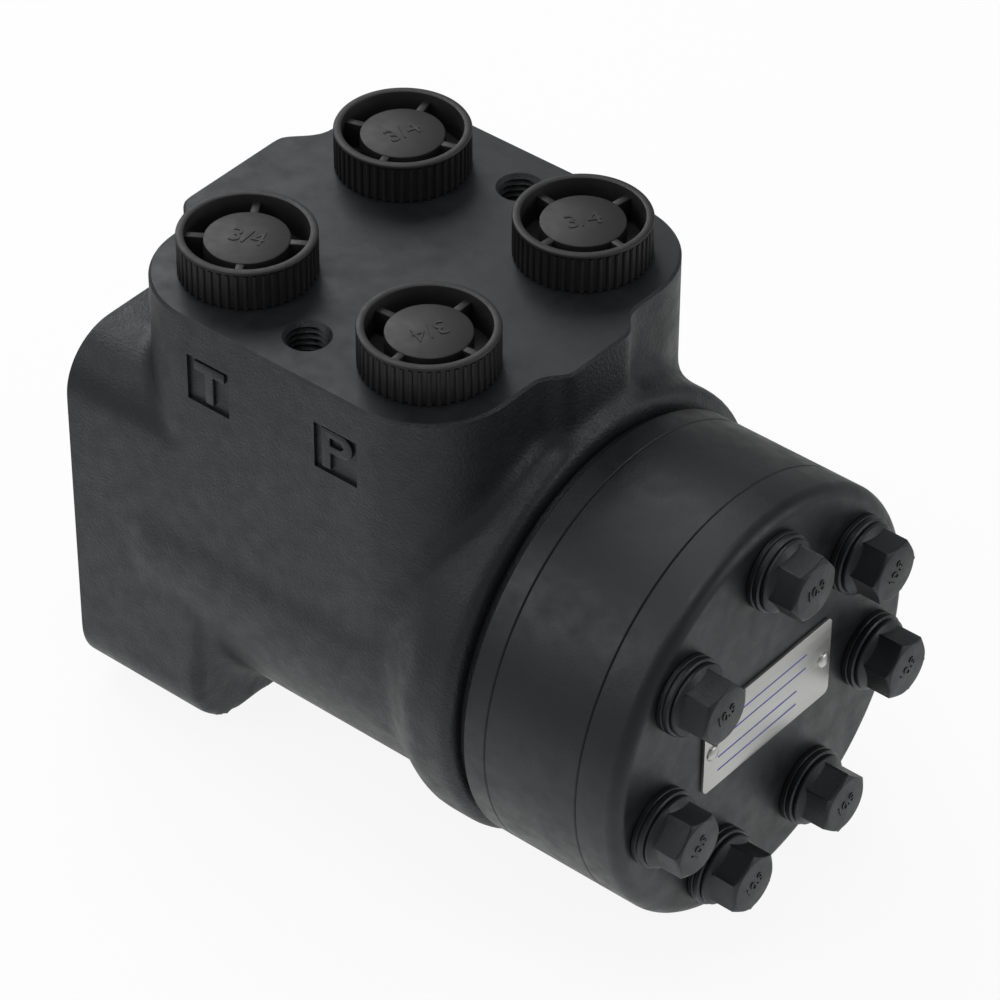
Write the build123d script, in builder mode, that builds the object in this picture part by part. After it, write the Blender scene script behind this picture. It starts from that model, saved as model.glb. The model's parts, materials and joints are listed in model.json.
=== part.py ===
from build123d import *
from math import atan2, cos, pi, radians, sin, tan
import os

# Orbital steering unit, millimetres. The shaft axis is X. The origin is the centre of the
# steering-column mounting face, +X runs to the end cover, and the port face looks to +Z.

# ---- housing: build-up along the shaft axis -------------------------------------------
housing_length = 115.0      # mounting face to the face that carries the distribution plate
flange_length = 35.5
flange_height = 93.5         # its width is the port block's
flange_corner_r = 14.0
flange_drop = 1.55          # the cast flange sits this far below the shaft axis
barrel_r = 47.0
collar_r = 52.4
collar_raise = 1.5          # the cast collar stands this far above the shaft axis
collar_land = 9.1           # full radius of the collar, up to its front
collar_climb = 18.0         # length over which the collar rises out of the barrel
collar_edge_r = 2.4
spigot_r = 48.4
spigot_length = 1.9         # open groove between the collar and the distribution plate

# ---- housing: port block ---------------------------------------------------------------
port_face_z = 70.15
block_length = 91.5
block_setback = 9.25        # the block's wall stands this far behind the housing's end face
block_width = 92.2
block_corner_r = 21.0
cover_tab_reach = 4.5       # boss on the block's wall towards the end cover
cover_tab_width = 19.8
column_tab_reach = 6.5      # boss on the block's wall towards the steering column
column_tab_width = 31.0
tab_fillet_r = 4.0
block_edge_chamfer = 0.6

# ---- ports and threaded holes ----------------------------------------------------------
port_pitch = 49.86
port_bore_r = 12.06         # minor radius of the 3/4 pipe thread
port_depth = 17.0
gallery_drill_r = 4.5
gallery_shift = 6.5         # each gallery drill stands off its port's axis along the shaft
gallery_inset = 3.0         # and in towards the shaft
gallery_r = 25.0
gallery_width = 6.0
gasket_hole_pitch = 68.8    # two tapped holes in the port face
m10_tap_r = 4.25
m10_hole_depth = 18.0
mounting_pcd = 82.5
mounting_hole_depth = 16.0

# ---- rotating set ----------------------------------------------------------------------
running_gap = 0.03          # radial gap of the spool in the sleeve and the sleeve in its bore
seat_gap = 0.1              # axial gap between turning parts
sleeve_r = 19.0
spool_r = 15.0
spool_bore_r = 11.0
journal_r = 12.7
spool_front = 2.0           # journal end, inside the mounting face
bore_floor = 12.0           # shoulder that carries the thrust bearing
race_thickness = 1.5
cage_thickness = 2.0
cage_inner_r = 13.4
cage_outer_r = 18.4
needle_count = 18
needle_length = 3.6
needle_pocket_gap = 0.1
journal_relief = 0.4        # housing and outer race stand off the journal
deflection_deg = 8.0        # spool travel against the centring springs, each way
set_end_gap = 0.3           # sleeve and spool stop short of the distribution plate
input_teeth = 12
input_minor_r = 8.7
input_major_r = 10.35
input_depth = 17.0
input_space = 2.4
input_flank_deg = 70.0
bore_step = 2.0             # wall between the input socket and the spool's bore
metering_hole_r = 1.5
metering_holes = 6
metering_groove_width = 4.0
metering_groove_depth = 1.2

spring_x = 28.0             # middle of the centring spring slot
spring_width = 8.0
leaf_thickness = 0.6
leaf_bow = 1.3
leaf_length = 34.4
leaf_gap = 0.03
slot_gap = 0.06
ring_wall = 1.4
ring_width = 10.0
pin_x = 41.0
pin_r = 4.0
pin_length = 37.4

# ---- gear set --------------------------------------------------------------------------
plate_thickness = 5.75
gear_width = 24.2
cover_thickness = 10.85
stack_r = 50.0
lobes = 7                   # ring lobes, the star has one fewer
lobe_circle_r = 35.0
lobe_r = 7.5
eccentricity = 3.0
gear_gap = 0.08             # running gap between star and ring, and at the star's two faces
root_gap = 0.3
star_points = 12            # points along one lobe of the star's outline
drive_teeth = 12
drive_minor_r = 10.2
drive_major_r = 11.7
drive_space = 3.3           # width of a tooth space at the tooth tips
drive_gap = 0.35            # the crowned shaft rocks in the star's teeth
drive_flank_deg = 75.0
tooth_root = 0.4            # a tooth's or space's flat base reaches this far past its circle
spacer_thickness = 2.6

# ---- drive shaft -----------------------------------------------------------------------
shaft_r = 7.0
fork_r = 9.0
fork_reach = 5.2            # fork beyond the cross pin's axis
fork_root = 6.5             # slot behind the cross pin's axis
fork_shoulder = 10.0
fork_gap = 0.2
drive_head_length = 17.0
drive_end_gap = 0.7         # shaft end to the spacer

# ---- end cover fasteners ---------------------------------------------------------------
bolt_circle_r = 37.2
bolt_count = 7
bolt_r = 4.0
bolt_hole_r = 4.3
thread_gap = 0.02
bolt_grip = 17.0            # thread engaged in the housing
washer_r = 8.9
washer_thickness = 1.5
washer_count = 2
head_flange_r = 8.3
head_flange_height = 1.7
head_across_flats = 13.0
head_height = 8.4           # flange and hexagon together
head_chamfer_deg = 30.0
head_crown_inset = 0.3
head_turns = (7, 13, 48, 29, 21, 44, 55)
pin_bolt_index = 4
rolled_pin_r = 2.0
rolled_pin_length = 12.0
bushing_r = 6.0
bushing_length = 14.0
bushing_sink = 1.0
ball_r = 4.25
ball_bore_gap = 0.4
ball_seat_r = 2.5
ball_travel = 1.5
pin_bolt_grip = 12.0
rolled_pin_hold = 4.0       # length of the rolled pin inside its bolt
rolled_pin_bore_r = 0.9
cover_edge_r = 3.2

# ---- seals -----------------------------------------------------------------------------
o_ring_wall = 1.9           # metal left between a bolt hole and the seal's groove
o_ring_r = 0.9
o_ring_groove_width = 2.4
o_ring_squeeze = 0.02
commutation_r = 29.5        # oil holes between the housing, the plate and the gear set
commutation_hole_r = 2.4
commutation_run = 16.0
plate_bore_r = 12.0
dust_seal_r = 18.5
dust_seal_depth = 4.0
dust_seal_face = 0.6
dust_lip = 1.2
shaft_seal_r = 16.5
shaft_seal_width = 3.4
shaft_seal_x = 6.6
seal_gap = 0.02

# ---- plate and rivets ------------------------------------------------------------------
name_plate_width = 43.5
name_plate_height = 21.0
name_plate_thickness = 0.8
name_plate_corner_r = 1.6
rivet_pitch = 38.2
rivet_head_r = 1.9
rivet_head_height = 0.9
rivet_r = 1.2
rivet_length = 4.0

# ---- port caps -------------------------------------------------------------------------
cap_r = 15.0
cap_height = 9.68
cap_wall_r = 14.5           # wall between the grip ribs
cap_inner_r = 13.2
cap_disc_r = 9.3
cap_disc_sink = 1.6
cap_floor = 1.8
cap_skin = 1.6
cap_ribs = 48
cap_rib_width = 1.0
cap_spoke_width = 1.8
cap_shank_gap = 0.12
cap_shank_length = 10.0
cap_edge_r = 0.45
cap_turns = {"t": 33.0, "p": 3.0, "l": 17.5, "r": 83.0}

# ---- worked-out places -----------------------------------------------------------------
bore_r = sleeve_r + running_gap
race_x = bore_floor
cage_x = race_x + race_thickness
inner_race_x = cage_x + cage_thickness
sleeve_front = inner_race_x + race_thickness + seat_gap
set_end = housing_length - set_end_gap
ring_start = housing_length + plate_thickness
cover_start = ring_start + gear_width
cover_end = cover_start + cover_thickness
shaft_tilt = atan2(eccentricity, ring_start + gear_width / 2 - pin_x)
head_seat = cover_end + washer_count * washer_thickness
block_mid_x = housing_length - block_setback - block_length / 2
collar_front = housing_length - spigot_length
collar_shoulder = collar_front - collar_land
collar_start = collar_shoulder - collar_climb
o_ring_circle_r = bolt_circle_r + bolt_hole_r + o_ring_wall + o_ring_groove_width / 2
o_ring_depth = 2 * o_ring_r + o_ring_squeeze
socket_end = spool_front + input_depth + bore_step
leaf_stack = 2 * (3 * leaf_thickness + leaf_bow + 3 * leaf_gap)
bushing_front = housing_length - bushing_sink
bushing_back = bushing_front - bushing_length
pin_bolt_end = bushing_front - pin_bolt_grip
rolled_pin_tip = pin_bolt_end + rolled_pin_hold - rolled_pin_length
ball_x = rolled_pin_tip - ball_travel - ball_r - seat_gap
ball_seat_x = ball_x - (ball_r**2 - ball_seat_r**2) ** 0.5
star_r = lobe_circle_r + eccentricity - lobe_r
ring_root_r = star_r + eccentricity + root_gap
star_centre = (0, -eccentricity)
port_spots = {
    "t": (block_mid_x - port_pitch / 2, -port_pitch / 2),
    "p": (block_mid_x + port_pitch / 2, -port_pitch / 2),
    "l": (block_mid_x - port_pitch / 2, port_pitch / 2),
    "r": (block_mid_x + port_pitch / 2, port_pitch / 2),
}
gallery_steps = {"t": -gallery_shift, "p": gallery_shift, "l": gallery_shift, "r": -gallery_shift}
block_walls = (block_mid_x - block_length / 2, block_mid_x + block_length / 2)
tabs = (
    (block_walls[0], -1, column_tab_reach, column_tab_width),
    (block_walls[1], 1, cover_tab_reach, cover_tab_width),
)
root_angles = [90 + 360 * (index + 0.5) / bolt_count for index in range(bolt_count)]
bolt_angles = [90 + 360 * index / bolt_count for index in range(bolt_count)]
cover_bolt_indices = [index for index in range(bolt_count) if index != pin_bolt_index]


def ring_spot(radius, angle):
    """Point on a circle round the shaft axis, as sketch coordinates of a Plane.YZ."""
    return (radius * cos(radians(angle)), radius * sin(radians(angle)))


bolt_spots = [ring_spot(bolt_circle_r, angle) for angle in bolt_angles]
cover_bolt_spots = [bolt_spots[index] for index in cover_bolt_indices]
pin_bolt_spot = bolt_spots[pin_bolt_index]


collar_axis = Axis((0, 0, collar_raise), (1, 0, 0))


def across(x):
    """Sketch plane square to the shaft axis: sketch X is +Y, sketch Y is +Z."""
    return Plane.YZ.offset(x)


# ---- valve housing ---------------------------------------------------------------------
with BuildPart() as valve_housing:
    with BuildSketch(across(0)):
        with Locations((0, -flange_drop)):
            RectangleRounded(block_width, flange_height, flange_corner_r)
    extrude(amount=flange_length)
    with BuildSketch(across(flange_length)):
        Circle(barrel_r)
    extrude(amount=collar_front - collar_edge_r - flange_length)
    with BuildSketch(Plane.XY):
        with Locations((block_mid_x, 0)):
            RectangleRounded(block_length, block_width, block_corner_r)
        for wall, way, reach, width in tabs:
            foot = width / 2 + reach
            Polygon(
                (wall - way, -foot - 1),
                (wall + way * reach, -width / 2),
                (wall + way * reach, width / 2),
                (wall - way, foot + 1),
                align=None,
            )
        straight = block_width / 2 - block_corner_r - 0.1
        tab_corners = [corner for corner in vertices() if abs(corner.Y) < straight]
        fillet(tab_corners, tab_fillet_r)
    extrude(amount=port_face_z)
    chamfer(valve_housing.faces().sort_by(Axis.Z)[-1].edges(), block_edge_chamfer)
    # collar: rises out of the barrel in an S and ends in a rounded edge
    with BuildSketch(Plane.XZ):
        with BuildLine():
            climb = Spline(
                (collar_start, barrel_r - collar_raise),
                (collar_shoulder, collar_raise + collar_r),
                tangents=[(1, 0), (1, 0)],
            )
            land = Line(climb @ 1, (collar_front - collar_edge_r, collar_raise + collar_r))
            rim = RadiusArc(
                land @ 1,
                (collar_front, collar_raise + collar_r - collar_edge_r),
                collar_edge_r,
            )
            Polyline(
                rim @ 1,
                (collar_front, collar_raise),
                (collar_start, collar_raise),
                climb @ 0,
            )
        make_face()
    revolve(axis=collar_axis)
    with BuildSketch(across(collar_front)):
        Circle(spigot_r)
    extrude(amount=spigot_length)
    # stepped bore: dust seal, shaft seal, journal, then the sleeve's bore
    with BuildSketch(across(0)):
        Circle(journal_r + journal_relief)
    extrude(amount=housing_length, mode=Mode.SUBTRACT)
    with BuildSketch(across(0)):
        Circle(dust_seal_r)
    extrude(amount=dust_seal_depth, mode=Mode.SUBTRACT)
    with BuildSketch(across(shaft_seal_x)):
        Circle(shaft_seal_r)
    extrude(amount=shaft_seal_width, mode=Mode.SUBTRACT)
    with BuildSketch(across(bore_floor)):
        Circle(bore_r)
    extrude(amount=housing_length - bore_floor, mode=Mode.SUBTRACT)
    # ports, each with a gallery drill down to its own ring groove in the bore
    for name, (x, y) in port_spots.items():
        gallery_x = x + gallery_steps[name]
        inward = gallery_inset if y < 0 else -gallery_inset
        with BuildSketch(Plane.XY.offset(port_face_z)):
            with Locations((x, y)):
                Circle(port_bore_r)
        extrude(amount=-port_depth, mode=Mode.SUBTRACT)
        with BuildSketch(Plane.XY):
            with Locations((gallery_x, y + inward)):
                Circle(gallery_drill_r)
        extrude(amount=port_face_z - port_depth / 2, mode=Mode.SUBTRACT)
        with BuildSketch(across(gallery_x - gallery_width / 2)):
            Circle(gallery_r)
        extrude(amount=gallery_width, mode=Mode.SUBTRACT)
    # tapped holes in the port face and in the mounting face
    with Locations(Plane.XY.offset(port_face_z)):
        with Locations((block_mid_x, -gasket_hole_pitch / 2), (block_mid_x, gasket_hole_pitch / 2)):
            Hole(m10_tap_r, m10_hole_depth)
    with Locations(-across(0)):
        with PolarLocations(mounting_pcd / 2, 4, start_angle=45):
            Hole(m10_tap_r, mounting_hole_depth)
    # end face: cover bolt threads, check valve bore, commutation drills, O-ring groove
    with BuildSketch(across(housing_length)):
        with Locations(*cover_bolt_spots):
            Circle(bolt_r + thread_gap)
    extrude(amount=-bolt_grip - 1, mode=Mode.SUBTRACT)
    with BuildSketch(across(housing_length)):
        with Locations(pin_bolt_spot):
            Circle(bushing_r + thread_gap)
    extrude(amount=-bushing_length - bushing_sink, mode=Mode.SUBTRACT)
    with BuildSketch(across(housing_length)):
        with Locations(pin_bolt_spot):
            Circle(ball_r + ball_bore_gap)
    extrude(amount=ball_seat_x - housing_length, mode=Mode.SUBTRACT)
    return_x = port_spots["t"][0] + gallery_steps["t"]
    supply_x = port_spots["p"][0] + gallery_steps["p"]
    with BuildSketch(across(ball_seat_x)):
        with Locations(pin_bolt_spot):
            Circle(ball_seat_r)
    extrude(amount=return_x - ball_seat_x, mode=Mode.SUBTRACT)
    for link_x in (return_x, supply_x):
        outward = Plane(origin=(link_x, 0, 0), z_dir=(0, *pin_bolt_spot))
        with BuildSketch(outward.offset(gallery_r - 1)):
            Circle(ball_seat_r - 0.5)
        extrude(amount=bolt_circle_r - gallery_r + 1, mode=Mode.SUBTRACT)
    for angle in root_angles:
        mouth = ring_spot(commutation_r, angle)
        foot = ring_spot(sleeve_r, angle)
        drill = Vector(-commutation_run, foot[0] - mouth[0], foot[1] - mouth[1])
        with BuildSketch(Plane(origin=(housing_length, *mouth), z_dir=drill)):
            Circle(commutation_hole_r)
        extrude(amount=drill.length, both=True, mode=Mode.SUBTRACT)
    with BuildSketch(across(housing_length)):
        Circle(o_ring_circle_r + o_ring_groove_width / 2)
        Circle(o_ring_circle_r - o_ring_groove_width / 2, mode=Mode.SUBTRACT)
    extrude(amount=-o_ring_depth, mode=Mode.SUBTRACT)

# ---- seals and thrust bearing at the column end ----------------------------------------
with BuildPart() as dust_seal:
    with BuildSketch(Plane.XZ):
        with BuildLine():
            lip_r = journal_r + seal_gap
            shell_r = dust_seal_r - seal_gap
            Polyline(
                (dust_seal_face, shell_r),
                (dust_seal_depth, shell_r),
                (dust_seal_depth, lip_r + dust_lip),
                (dust_seal_face + dust_lip, lip_r + dust_lip),
                (dust_seal_face, lip_r),
                (dust_seal_face, shell_r),
            )
        make_face()
    revolve(axis=Axis.X)

with BuildPart() as shaft_seal:
    with BuildSketch(across(shaft_seal_x + seal_gap)):
        Circle(shaft_seal_r - seal_gap)
        Circle(journal_r + seal_gap, mode=Mode.SUBTRACT)
    extrude(amount=shaft_seal_width - 2 * seal_gap)

with BuildPart() as bearing_outer_race:
    with BuildSketch(across(race_x)):
        Circle(sleeve_r)
        Circle(journal_r + journal_relief, mode=Mode.SUBTRACT)
    extrude(amount=race_thickness)

with BuildPart() as bearing_cage:
    with BuildSketch(across(cage_x + needle_pocket_gap)):
        Circle(cage_outer_r)
        Circle(cage_inner_r, mode=Mode.SUBTRACT)
        with PolarLocations((cage_outer_r + cage_inner_r) / 2, needle_count):
            Rectangle(
                needle_length + needle_pocket_gap,
                cage_thickness + needle_pocket_gap,
                mode=Mode.SUBTRACT,
            )
    extrude(amount=cage_thickness - 2 * needle_pocket_gap)

with BuildPart() as bearing_needles:
    for index in range(needle_count):
        middle_x = cage_x + cage_thickness / 2
        outward = (0, *ring_spot(1, 360 * index / needle_count))
        radial = Plane(origin=(middle_x, 0, 0), z_dir=outward)
        with BuildSketch(radial.offset((cage_outer_r + cage_inner_r - needle_length) / 2)):
            Circle(cage_thickness / 2 - seal_gap)
        extrude(amount=needle_length)

with BuildPart() as bearing_inner_race:
    with BuildSketch(across(inner_race_x)):
        Circle(sleeve_r)
        Circle(journal_r + running_gap, mode=Mode.SUBTRACT)
    extrude(amount=race_thickness)

# ---- sleeve ----------------------------------------------------------------------------
with BuildPart() as sleeve:
    with BuildSketch(across(sleeve_front)):
        Circle(sleeve_r)
        Circle(spool_r + running_gap, mode=Mode.SUBTRACT)
    extrude(amount=set_end - sleeve_front)
    chamfer(sleeve.edges().filter_by(GeomType.CIRCLE), 0.4)
    with BuildSketch(across(spring_x - ring_width / 2)):
        Circle(sleeve_r + 1)
        Circle(sleeve_r - ring_wall - slot_gap, mode=Mode.SUBTRACT)
    extrude(amount=ring_width, mode=Mode.SUBTRACT)
    with BuildSketch(across(spring_x - spring_width / 2 - slot_gap)):
        Rectangle(3 * sleeve_r, leaf_stack + 2 * slot_gap)
    extrude(amount=spring_width + 2 * slot_gap, mode=Mode.SUBTRACT)
    with BuildSketch(Plane.XY):
        with Locations((pin_x, 0)):
            Circle(pin_r + seal_gap)
    extrude(amount=2 * sleeve_r, both=True, mode=Mode.SUBTRACT)
    for name, (x, y) in port_spots.items():
        groove_x = x + gallery_steps[name]
        for index in range(metering_holes):
            outward = (0, *ring_spot(1, 360 * (index + 0.25) / metering_holes))
            with BuildSketch(Plane(origin=(groove_x, 0, 0), z_dir=outward)):
                Circle(metering_hole_r)
            extrude(amount=sleeve_r + 1, mode=Mode.SUBTRACT)

with BuildPart() as spring_ring:
    with BuildSketch(across(spring_x - ring_width / 2 + slot_gap)):
        Circle(sleeve_r)
        Circle(sleeve_r - ring_wall, mode=Mode.SUBTRACT)
    extrude(amount=ring_width - 2 * slot_gap)

with BuildPart() as cross_pin:
    with BuildSketch(Plane.XY.offset(-pin_length / 2)):
        with Locations((pin_x, 0)):
            Circle(pin_r)
    extrude(amount=pin_length)
    chamfer(cross_pin.edges().filter_by(GeomType.CIRCLE), 0.4)

# Two flat leaves outside, and two curved pairs between them, back to back.
with BuildPart() as centering_springs:
    for side in (1, -1):
        flat_z = side * (leaf_stack - leaf_thickness) / 2
        with BuildSketch(across(spring_x - spring_width / 2)):
            with Locations((0, flat_z)):
                Rectangle(leaf_length, leaf_thickness)
        extrude(amount=spring_width)
        for layer in (0, 1):
            low = side * (leaf_gap / 2 + layer * (leaf_thickness + leaf_gap))
            high = low + side * leaf_thickness
            end = side * leaf_bow
            with BuildSketch(across(spring_x - spring_width / 2)):
                with BuildLine():
                    inner = ThreePointArc((-leaf_length / 2, low + end), (0, low), (leaf_length / 2, low + end))
                    outer = ThreePointArc((leaf_length / 2, high + end), (0, high), (-leaf_length / 2, high + end))
                    Line(inner @ 1, outer @ 0)
                    Line(outer @ 1, inner @ 0)
                make_face()
            extrude(amount=spring_width)

# ---- spool -----------------------------------------------------------------------------
with BuildPart() as spool:
    with BuildSketch(across(sleeve_front)):
        Circle(spool_r)
    extrude(amount=set_end - sleeve_front)
    with BuildSketch(across(spool_front)):
        Circle(journal_r)
    extrude(amount=sleeve_front - spool_front)
    chamfer(spool.faces().sort_by(Axis.X)[0].edges(), 0.5)
    with BuildSketch(across(socket_end)):
        Circle(spool_bore_r)
    extrude(amount=set_end - socket_end, mode=Mode.SUBTRACT)
    with BuildSketch(across(spool_front)):
        Circle(input_minor_r)
    extrude(amount=socket_end - spool_front, mode=Mode.SUBTRACT)
    with BuildSketch(across(spool_front)):
        with PolarLocations((input_minor_r + input_major_r - tooth_root) / 2, input_teeth, 180 / input_teeth):
            Trapezoid(
                input_space,
                input_major_r - input_minor_r + tooth_root,
                input_flank_deg,
                rotation=-90,
            )
    extrude(amount=input_depth, mode=Mode.SUBTRACT)
    with BuildSketch(across(spring_x - spring_width / 2 - slot_gap)):
        Rectangle(3 * spool_r, leaf_stack + 2 * slot_gap)
    extrude(amount=spring_width + 2 * slot_gap, mode=Mode.SUBTRACT)
    pin_swing = spool_r * sin(radians(deflection_deg)) + 2 * fork_gap
    with BuildSketch(Plane.XY):
        with Locations((pin_x, 0)):
            SlotCenterToCenter(2 * pin_swing, 2 * (pin_r + fork_gap), rotation=90)
    extrude(amount=2 * spool_r, both=True, mode=Mode.SUBTRACT)
    groove_start = port_spots["t"][0] + gallery_steps["l"] + metering_groove_width
    groove_end = port_spots["p"][0] + gallery_steps["p"]
    with BuildSketch(across(groove_start + 2 * metering_groove_width)):
        with PolarLocations(spool_r, metering_holes, start_angle=15):
            Rectangle(2 * metering_groove_depth, metering_groove_width)
    extrude(amount=groove_end - groove_start - 2 * metering_groove_width, mode=Mode.SUBTRACT)

# ---- drive shaft: forked on the cross pin, toothed in the star --------------------------
shaft_line = (cos(shaft_tilt), 0, -sin(shaft_tilt))
shaft_origin = Plane(origin=(pin_x, 0, 0), x_dir=(0, 1, 0), z_dir=shaft_line)
head_end = (cover_start - spacer_thickness - gear_gap - drive_end_gap - pin_x) / cos(shaft_tilt)
with BuildPart() as drive_shaft:
    with BuildSketch(shaft_origin.offset(-fork_reach)):
        Circle(fork_r)
    extrude(amount=fork_reach + fork_shoulder)
    with BuildSketch(shaft_origin.offset(fork_shoulder - 1)):
        Circle(shaft_r)
    extrude(amount=head_end - fork_shoulder + 1)
    with BuildSketch(shaft_origin.offset(head_end - drive_head_length)):
        Circle(drive_minor_r - drive_gap)
        with PolarLocations((drive_minor_r + drive_major_r) / 2 - drive_gap - tooth_root / 2, drive_teeth):
            Trapezoid(
                drive_space - 2 * drive_gap,
                drive_major_r - drive_minor_r + tooth_root,
                drive_flank_deg,
                rotation=-90,
            )
    extrude(amount=drive_head_length)
    with BuildSketch(shaft_origin.offset(-fork_reach)):
        Rectangle(2 * (pin_r + fork_gap), 3 * fork_r)
    extrude(amount=fork_reach + fork_root, mode=Mode.SUBTRACT)

# ---- gear set --------------------------------------------------------------------------
with BuildPart() as distribution_plate:
    with BuildSketch(across(housing_length)):
        Circle(stack_r)
        Circle(plate_bore_r, mode=Mode.SUBTRACT)
        with Locations(*bolt_spots):
            Circle(bolt_hole_r, mode=Mode.SUBTRACT)
        with Locations(*[ring_spot(commutation_r, angle) for angle in root_angles]):
            Circle(commutation_hole_r, mode=Mode.SUBTRACT)
    extrude(amount=plate_thickness)
    with BuildSketch(across(ring_start)):
        Circle(o_ring_circle_r + o_ring_groove_width / 2)
        Circle(o_ring_circle_r - o_ring_groove_width / 2, mode=Mode.SUBTRACT)
    extrude(amount=-o_ring_depth, mode=Mode.SUBTRACT)

with BuildPart() as gerotor_ring:
    with BuildSketch(across(ring_start)):
        Circle(stack_r)
        Circle(ring_root_r, mode=Mode.SUBTRACT)
        with PolarLocations(lobe_circle_r, lobes, start_angle=90):
            Circle(lobe_r)
        with Locations(*bolt_spots):
            Circle(bolt_hole_r, mode=Mode.SUBTRACT)
    extrude(amount=gear_width)


def star_point(turn):
    """Point on the star: the lobes' path round it, moved in by the lobe radius."""
    fast = lobes * turn
    path = (
        lobe_circle_r * cos(turn) - eccentricity * cos(fast),
        lobe_circle_r * sin(turn) - eccentricity * sin(fast),
    )
    along = (
        -lobe_circle_r * sin(turn) + lobes * eccentricity * sin(fast),
        lobe_circle_r * cos(turn) - lobes * eccentricity * cos(fast),
    )
    inset = (lobe_r + gear_gap) / (along[0] ** 2 + along[1] ** 2) ** 0.5
    return (path[0] - along[1] * inset, path[1] + along[0] * inset)


star_plane = Plane(origin=(ring_start + gear_gap / 2, *star_centre), x_dir=(0, 1, 0), z_dir=(1, 0, 0))
with BuildPart() as gerotor_star:
    star_steps = (lobes - 1) * star_points
    with BuildSketch(star_plane):
        with BuildLine():
            Spline(*[star_point(2 * pi * step / star_steps) for step in range(star_steps)], periodic=True)
        make_face()
        Circle(drive_minor_r, mode=Mode.SUBTRACT)
        with PolarLocations((drive_minor_r + drive_major_r) / 2, drive_teeth):
            Trapezoid(
                drive_space,
                drive_major_r - drive_minor_r + tooth_root,
                drive_flank_deg,
                rotation=-90,
                mode=Mode.SUBTRACT,
            )
    extrude(amount=gear_width - gear_gap)

with BuildPart() as spacer:
    with BuildSketch(star_plane.offset(gear_width - gear_gap - spacer_thickness)):
        Circle(drive_minor_r - seat_gap)
    extrude(amount=spacer_thickness)

# ---- end cover -------------------------------------------------------------------------
with BuildPart() as end_cover:
    with BuildSketch(across(cover_start)):
        Circle(stack_r)
    extrude(amount=cover_thickness)
    fillet(end_cover.faces().sort_by(Axis.X)[-1].edges(), cover_edge_r)
    with BuildSketch(across(cover_start)):
        with Locations(*bolt_spots):
            Circle(bolt_hole_r)
    extrude(amount=cover_thickness, mode=Mode.SUBTRACT)
    with BuildSketch(across(cover_end)):
        with Locations((-rivet_pitch / 2, 0), (rivet_pitch / 2, 0)):
            Circle(rivet_r + seal_gap)
    extrude(amount=-rivet_length, mode=Mode.SUBTRACT)
    with BuildSketch(across(cover_start)):
        Circle(o_ring_circle_r + o_ring_groove_width / 2)
        Circle(o_ring_circle_r - o_ring_groove_width / 2, mode=Mode.SUBTRACT)
    extrude(amount=o_ring_depth, mode=Mode.SUBTRACT)

# ---- O-rings ---------------------------------------------------------------------------
o_ring_places = {
    "housing_o_ring": housing_length - o_ring_depth / 2,
    "plate_o_ring": ring_start - o_ring_depth / 2,
    "cover_o_ring": cover_start + o_ring_depth / 2,
}
o_rings = {}
for name, x in o_ring_places.items():
    with BuildPart() as o_ring:
        with BuildSketch(Plane.XZ):
            with Locations((x, o_ring_circle_r)):
                RegularPolygon(o_ring_r, 8, major_radius=False, rotation=22.5)
        revolve(axis=Axis.X)
    o_rings[name] = o_ring.part

# ---- cover fasteners -------------------------------------------------------------------
with BuildPart() as bolt_head:
    with BuildSketch(Plane.XY):
        Circle(head_flange_r)
    extrude(amount=head_flange_height)
    chamfer(bolt_head.faces().sort_by(Axis.Z)[-1].edges(), 0.6)
    with BuildSketch(Plane.XY):
        RegularPolygon(head_across_flats / 2, 6, major_radius=False)
    extrude(amount=head_height)
    with BuildSketch(Plane.XZ):
        with BuildLine():
            crown_r = head_across_flats / 2 - head_crown_inset
            crown_drop = (head_flange_r - crown_r) * tan(radians(head_chamfer_deg))
            Polyline(
                (0, 0),
                (head_flange_r, 0),
                (head_flange_r, head_height - crown_drop),
                (crown_r, head_height),
                (0, head_height),
                (0, 0),
            )
        make_face()
    revolve(axis=Axis.Z, mode=Mode.INTERSECT)


def head_place(index):
    """Where a bolt head sits, turned to its own angle."""
    flat = (0, *ring_spot(1, head_turns[index]))
    return Plane(origin=(head_seat, *bolt_spots[index]), x_dir=flat, z_dir=(1, 0, 0))


with BuildPart() as cover_bolts:
    for index in cover_bolt_indices:
        with Locations(head_place(index)):
            add(bolt_head.part)
    with BuildSketch(across(housing_length - bolt_grip)):
        with Locations(*cover_bolt_spots):
            Circle(bolt_r)
    extrude(amount=head_seat - housing_length + bolt_grip)

with BuildPart() as pin_bolt:
    with Locations(head_place(pin_bolt_index)):
        add(bolt_head.part)
    with BuildSketch(across(pin_bolt_end)):
        with Locations(pin_bolt_spot):
            Circle(bolt_r)
    extrude(amount=head_seat - pin_bolt_end)
    with BuildSketch(across(pin_bolt_end)):
        with Locations(pin_bolt_spot):
            Circle(rolled_pin_r)
    extrude(amount=rolled_pin_hold, mode=Mode.SUBTRACT)

with BuildPart() as rolled_pin:
    with BuildSketch(across(rolled_pin_tip)):
        with Locations(pin_bolt_spot):
            Circle(rolled_pin_r)
            Circle(rolled_pin_bore_r, mode=Mode.SUBTRACT)
    extrude(amount=rolled_pin_length)

with BuildPart() as washers:
    for layer in range(washer_count):
        with BuildSketch(across(cover_end + layer * washer_thickness)):
            with Locations(*bolt_spots):
                Circle(washer_r)
                Circle(bolt_r + 0.2, mode=Mode.SUBTRACT)
        extrude(amount=washer_thickness)

with BuildPart() as check_bushing:
    with BuildSketch(across(bushing_back)):
        with Locations(pin_bolt_spot):
            Circle(bushing_r)
            Circle(bolt_r + thread_gap, mode=Mode.SUBTRACT)
    extrude(amount=bushing_length)

with BuildPart() as check_ball:
    with Locations((ball_x, *pin_bolt_spot)):
        Sphere(ball_r)

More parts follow.
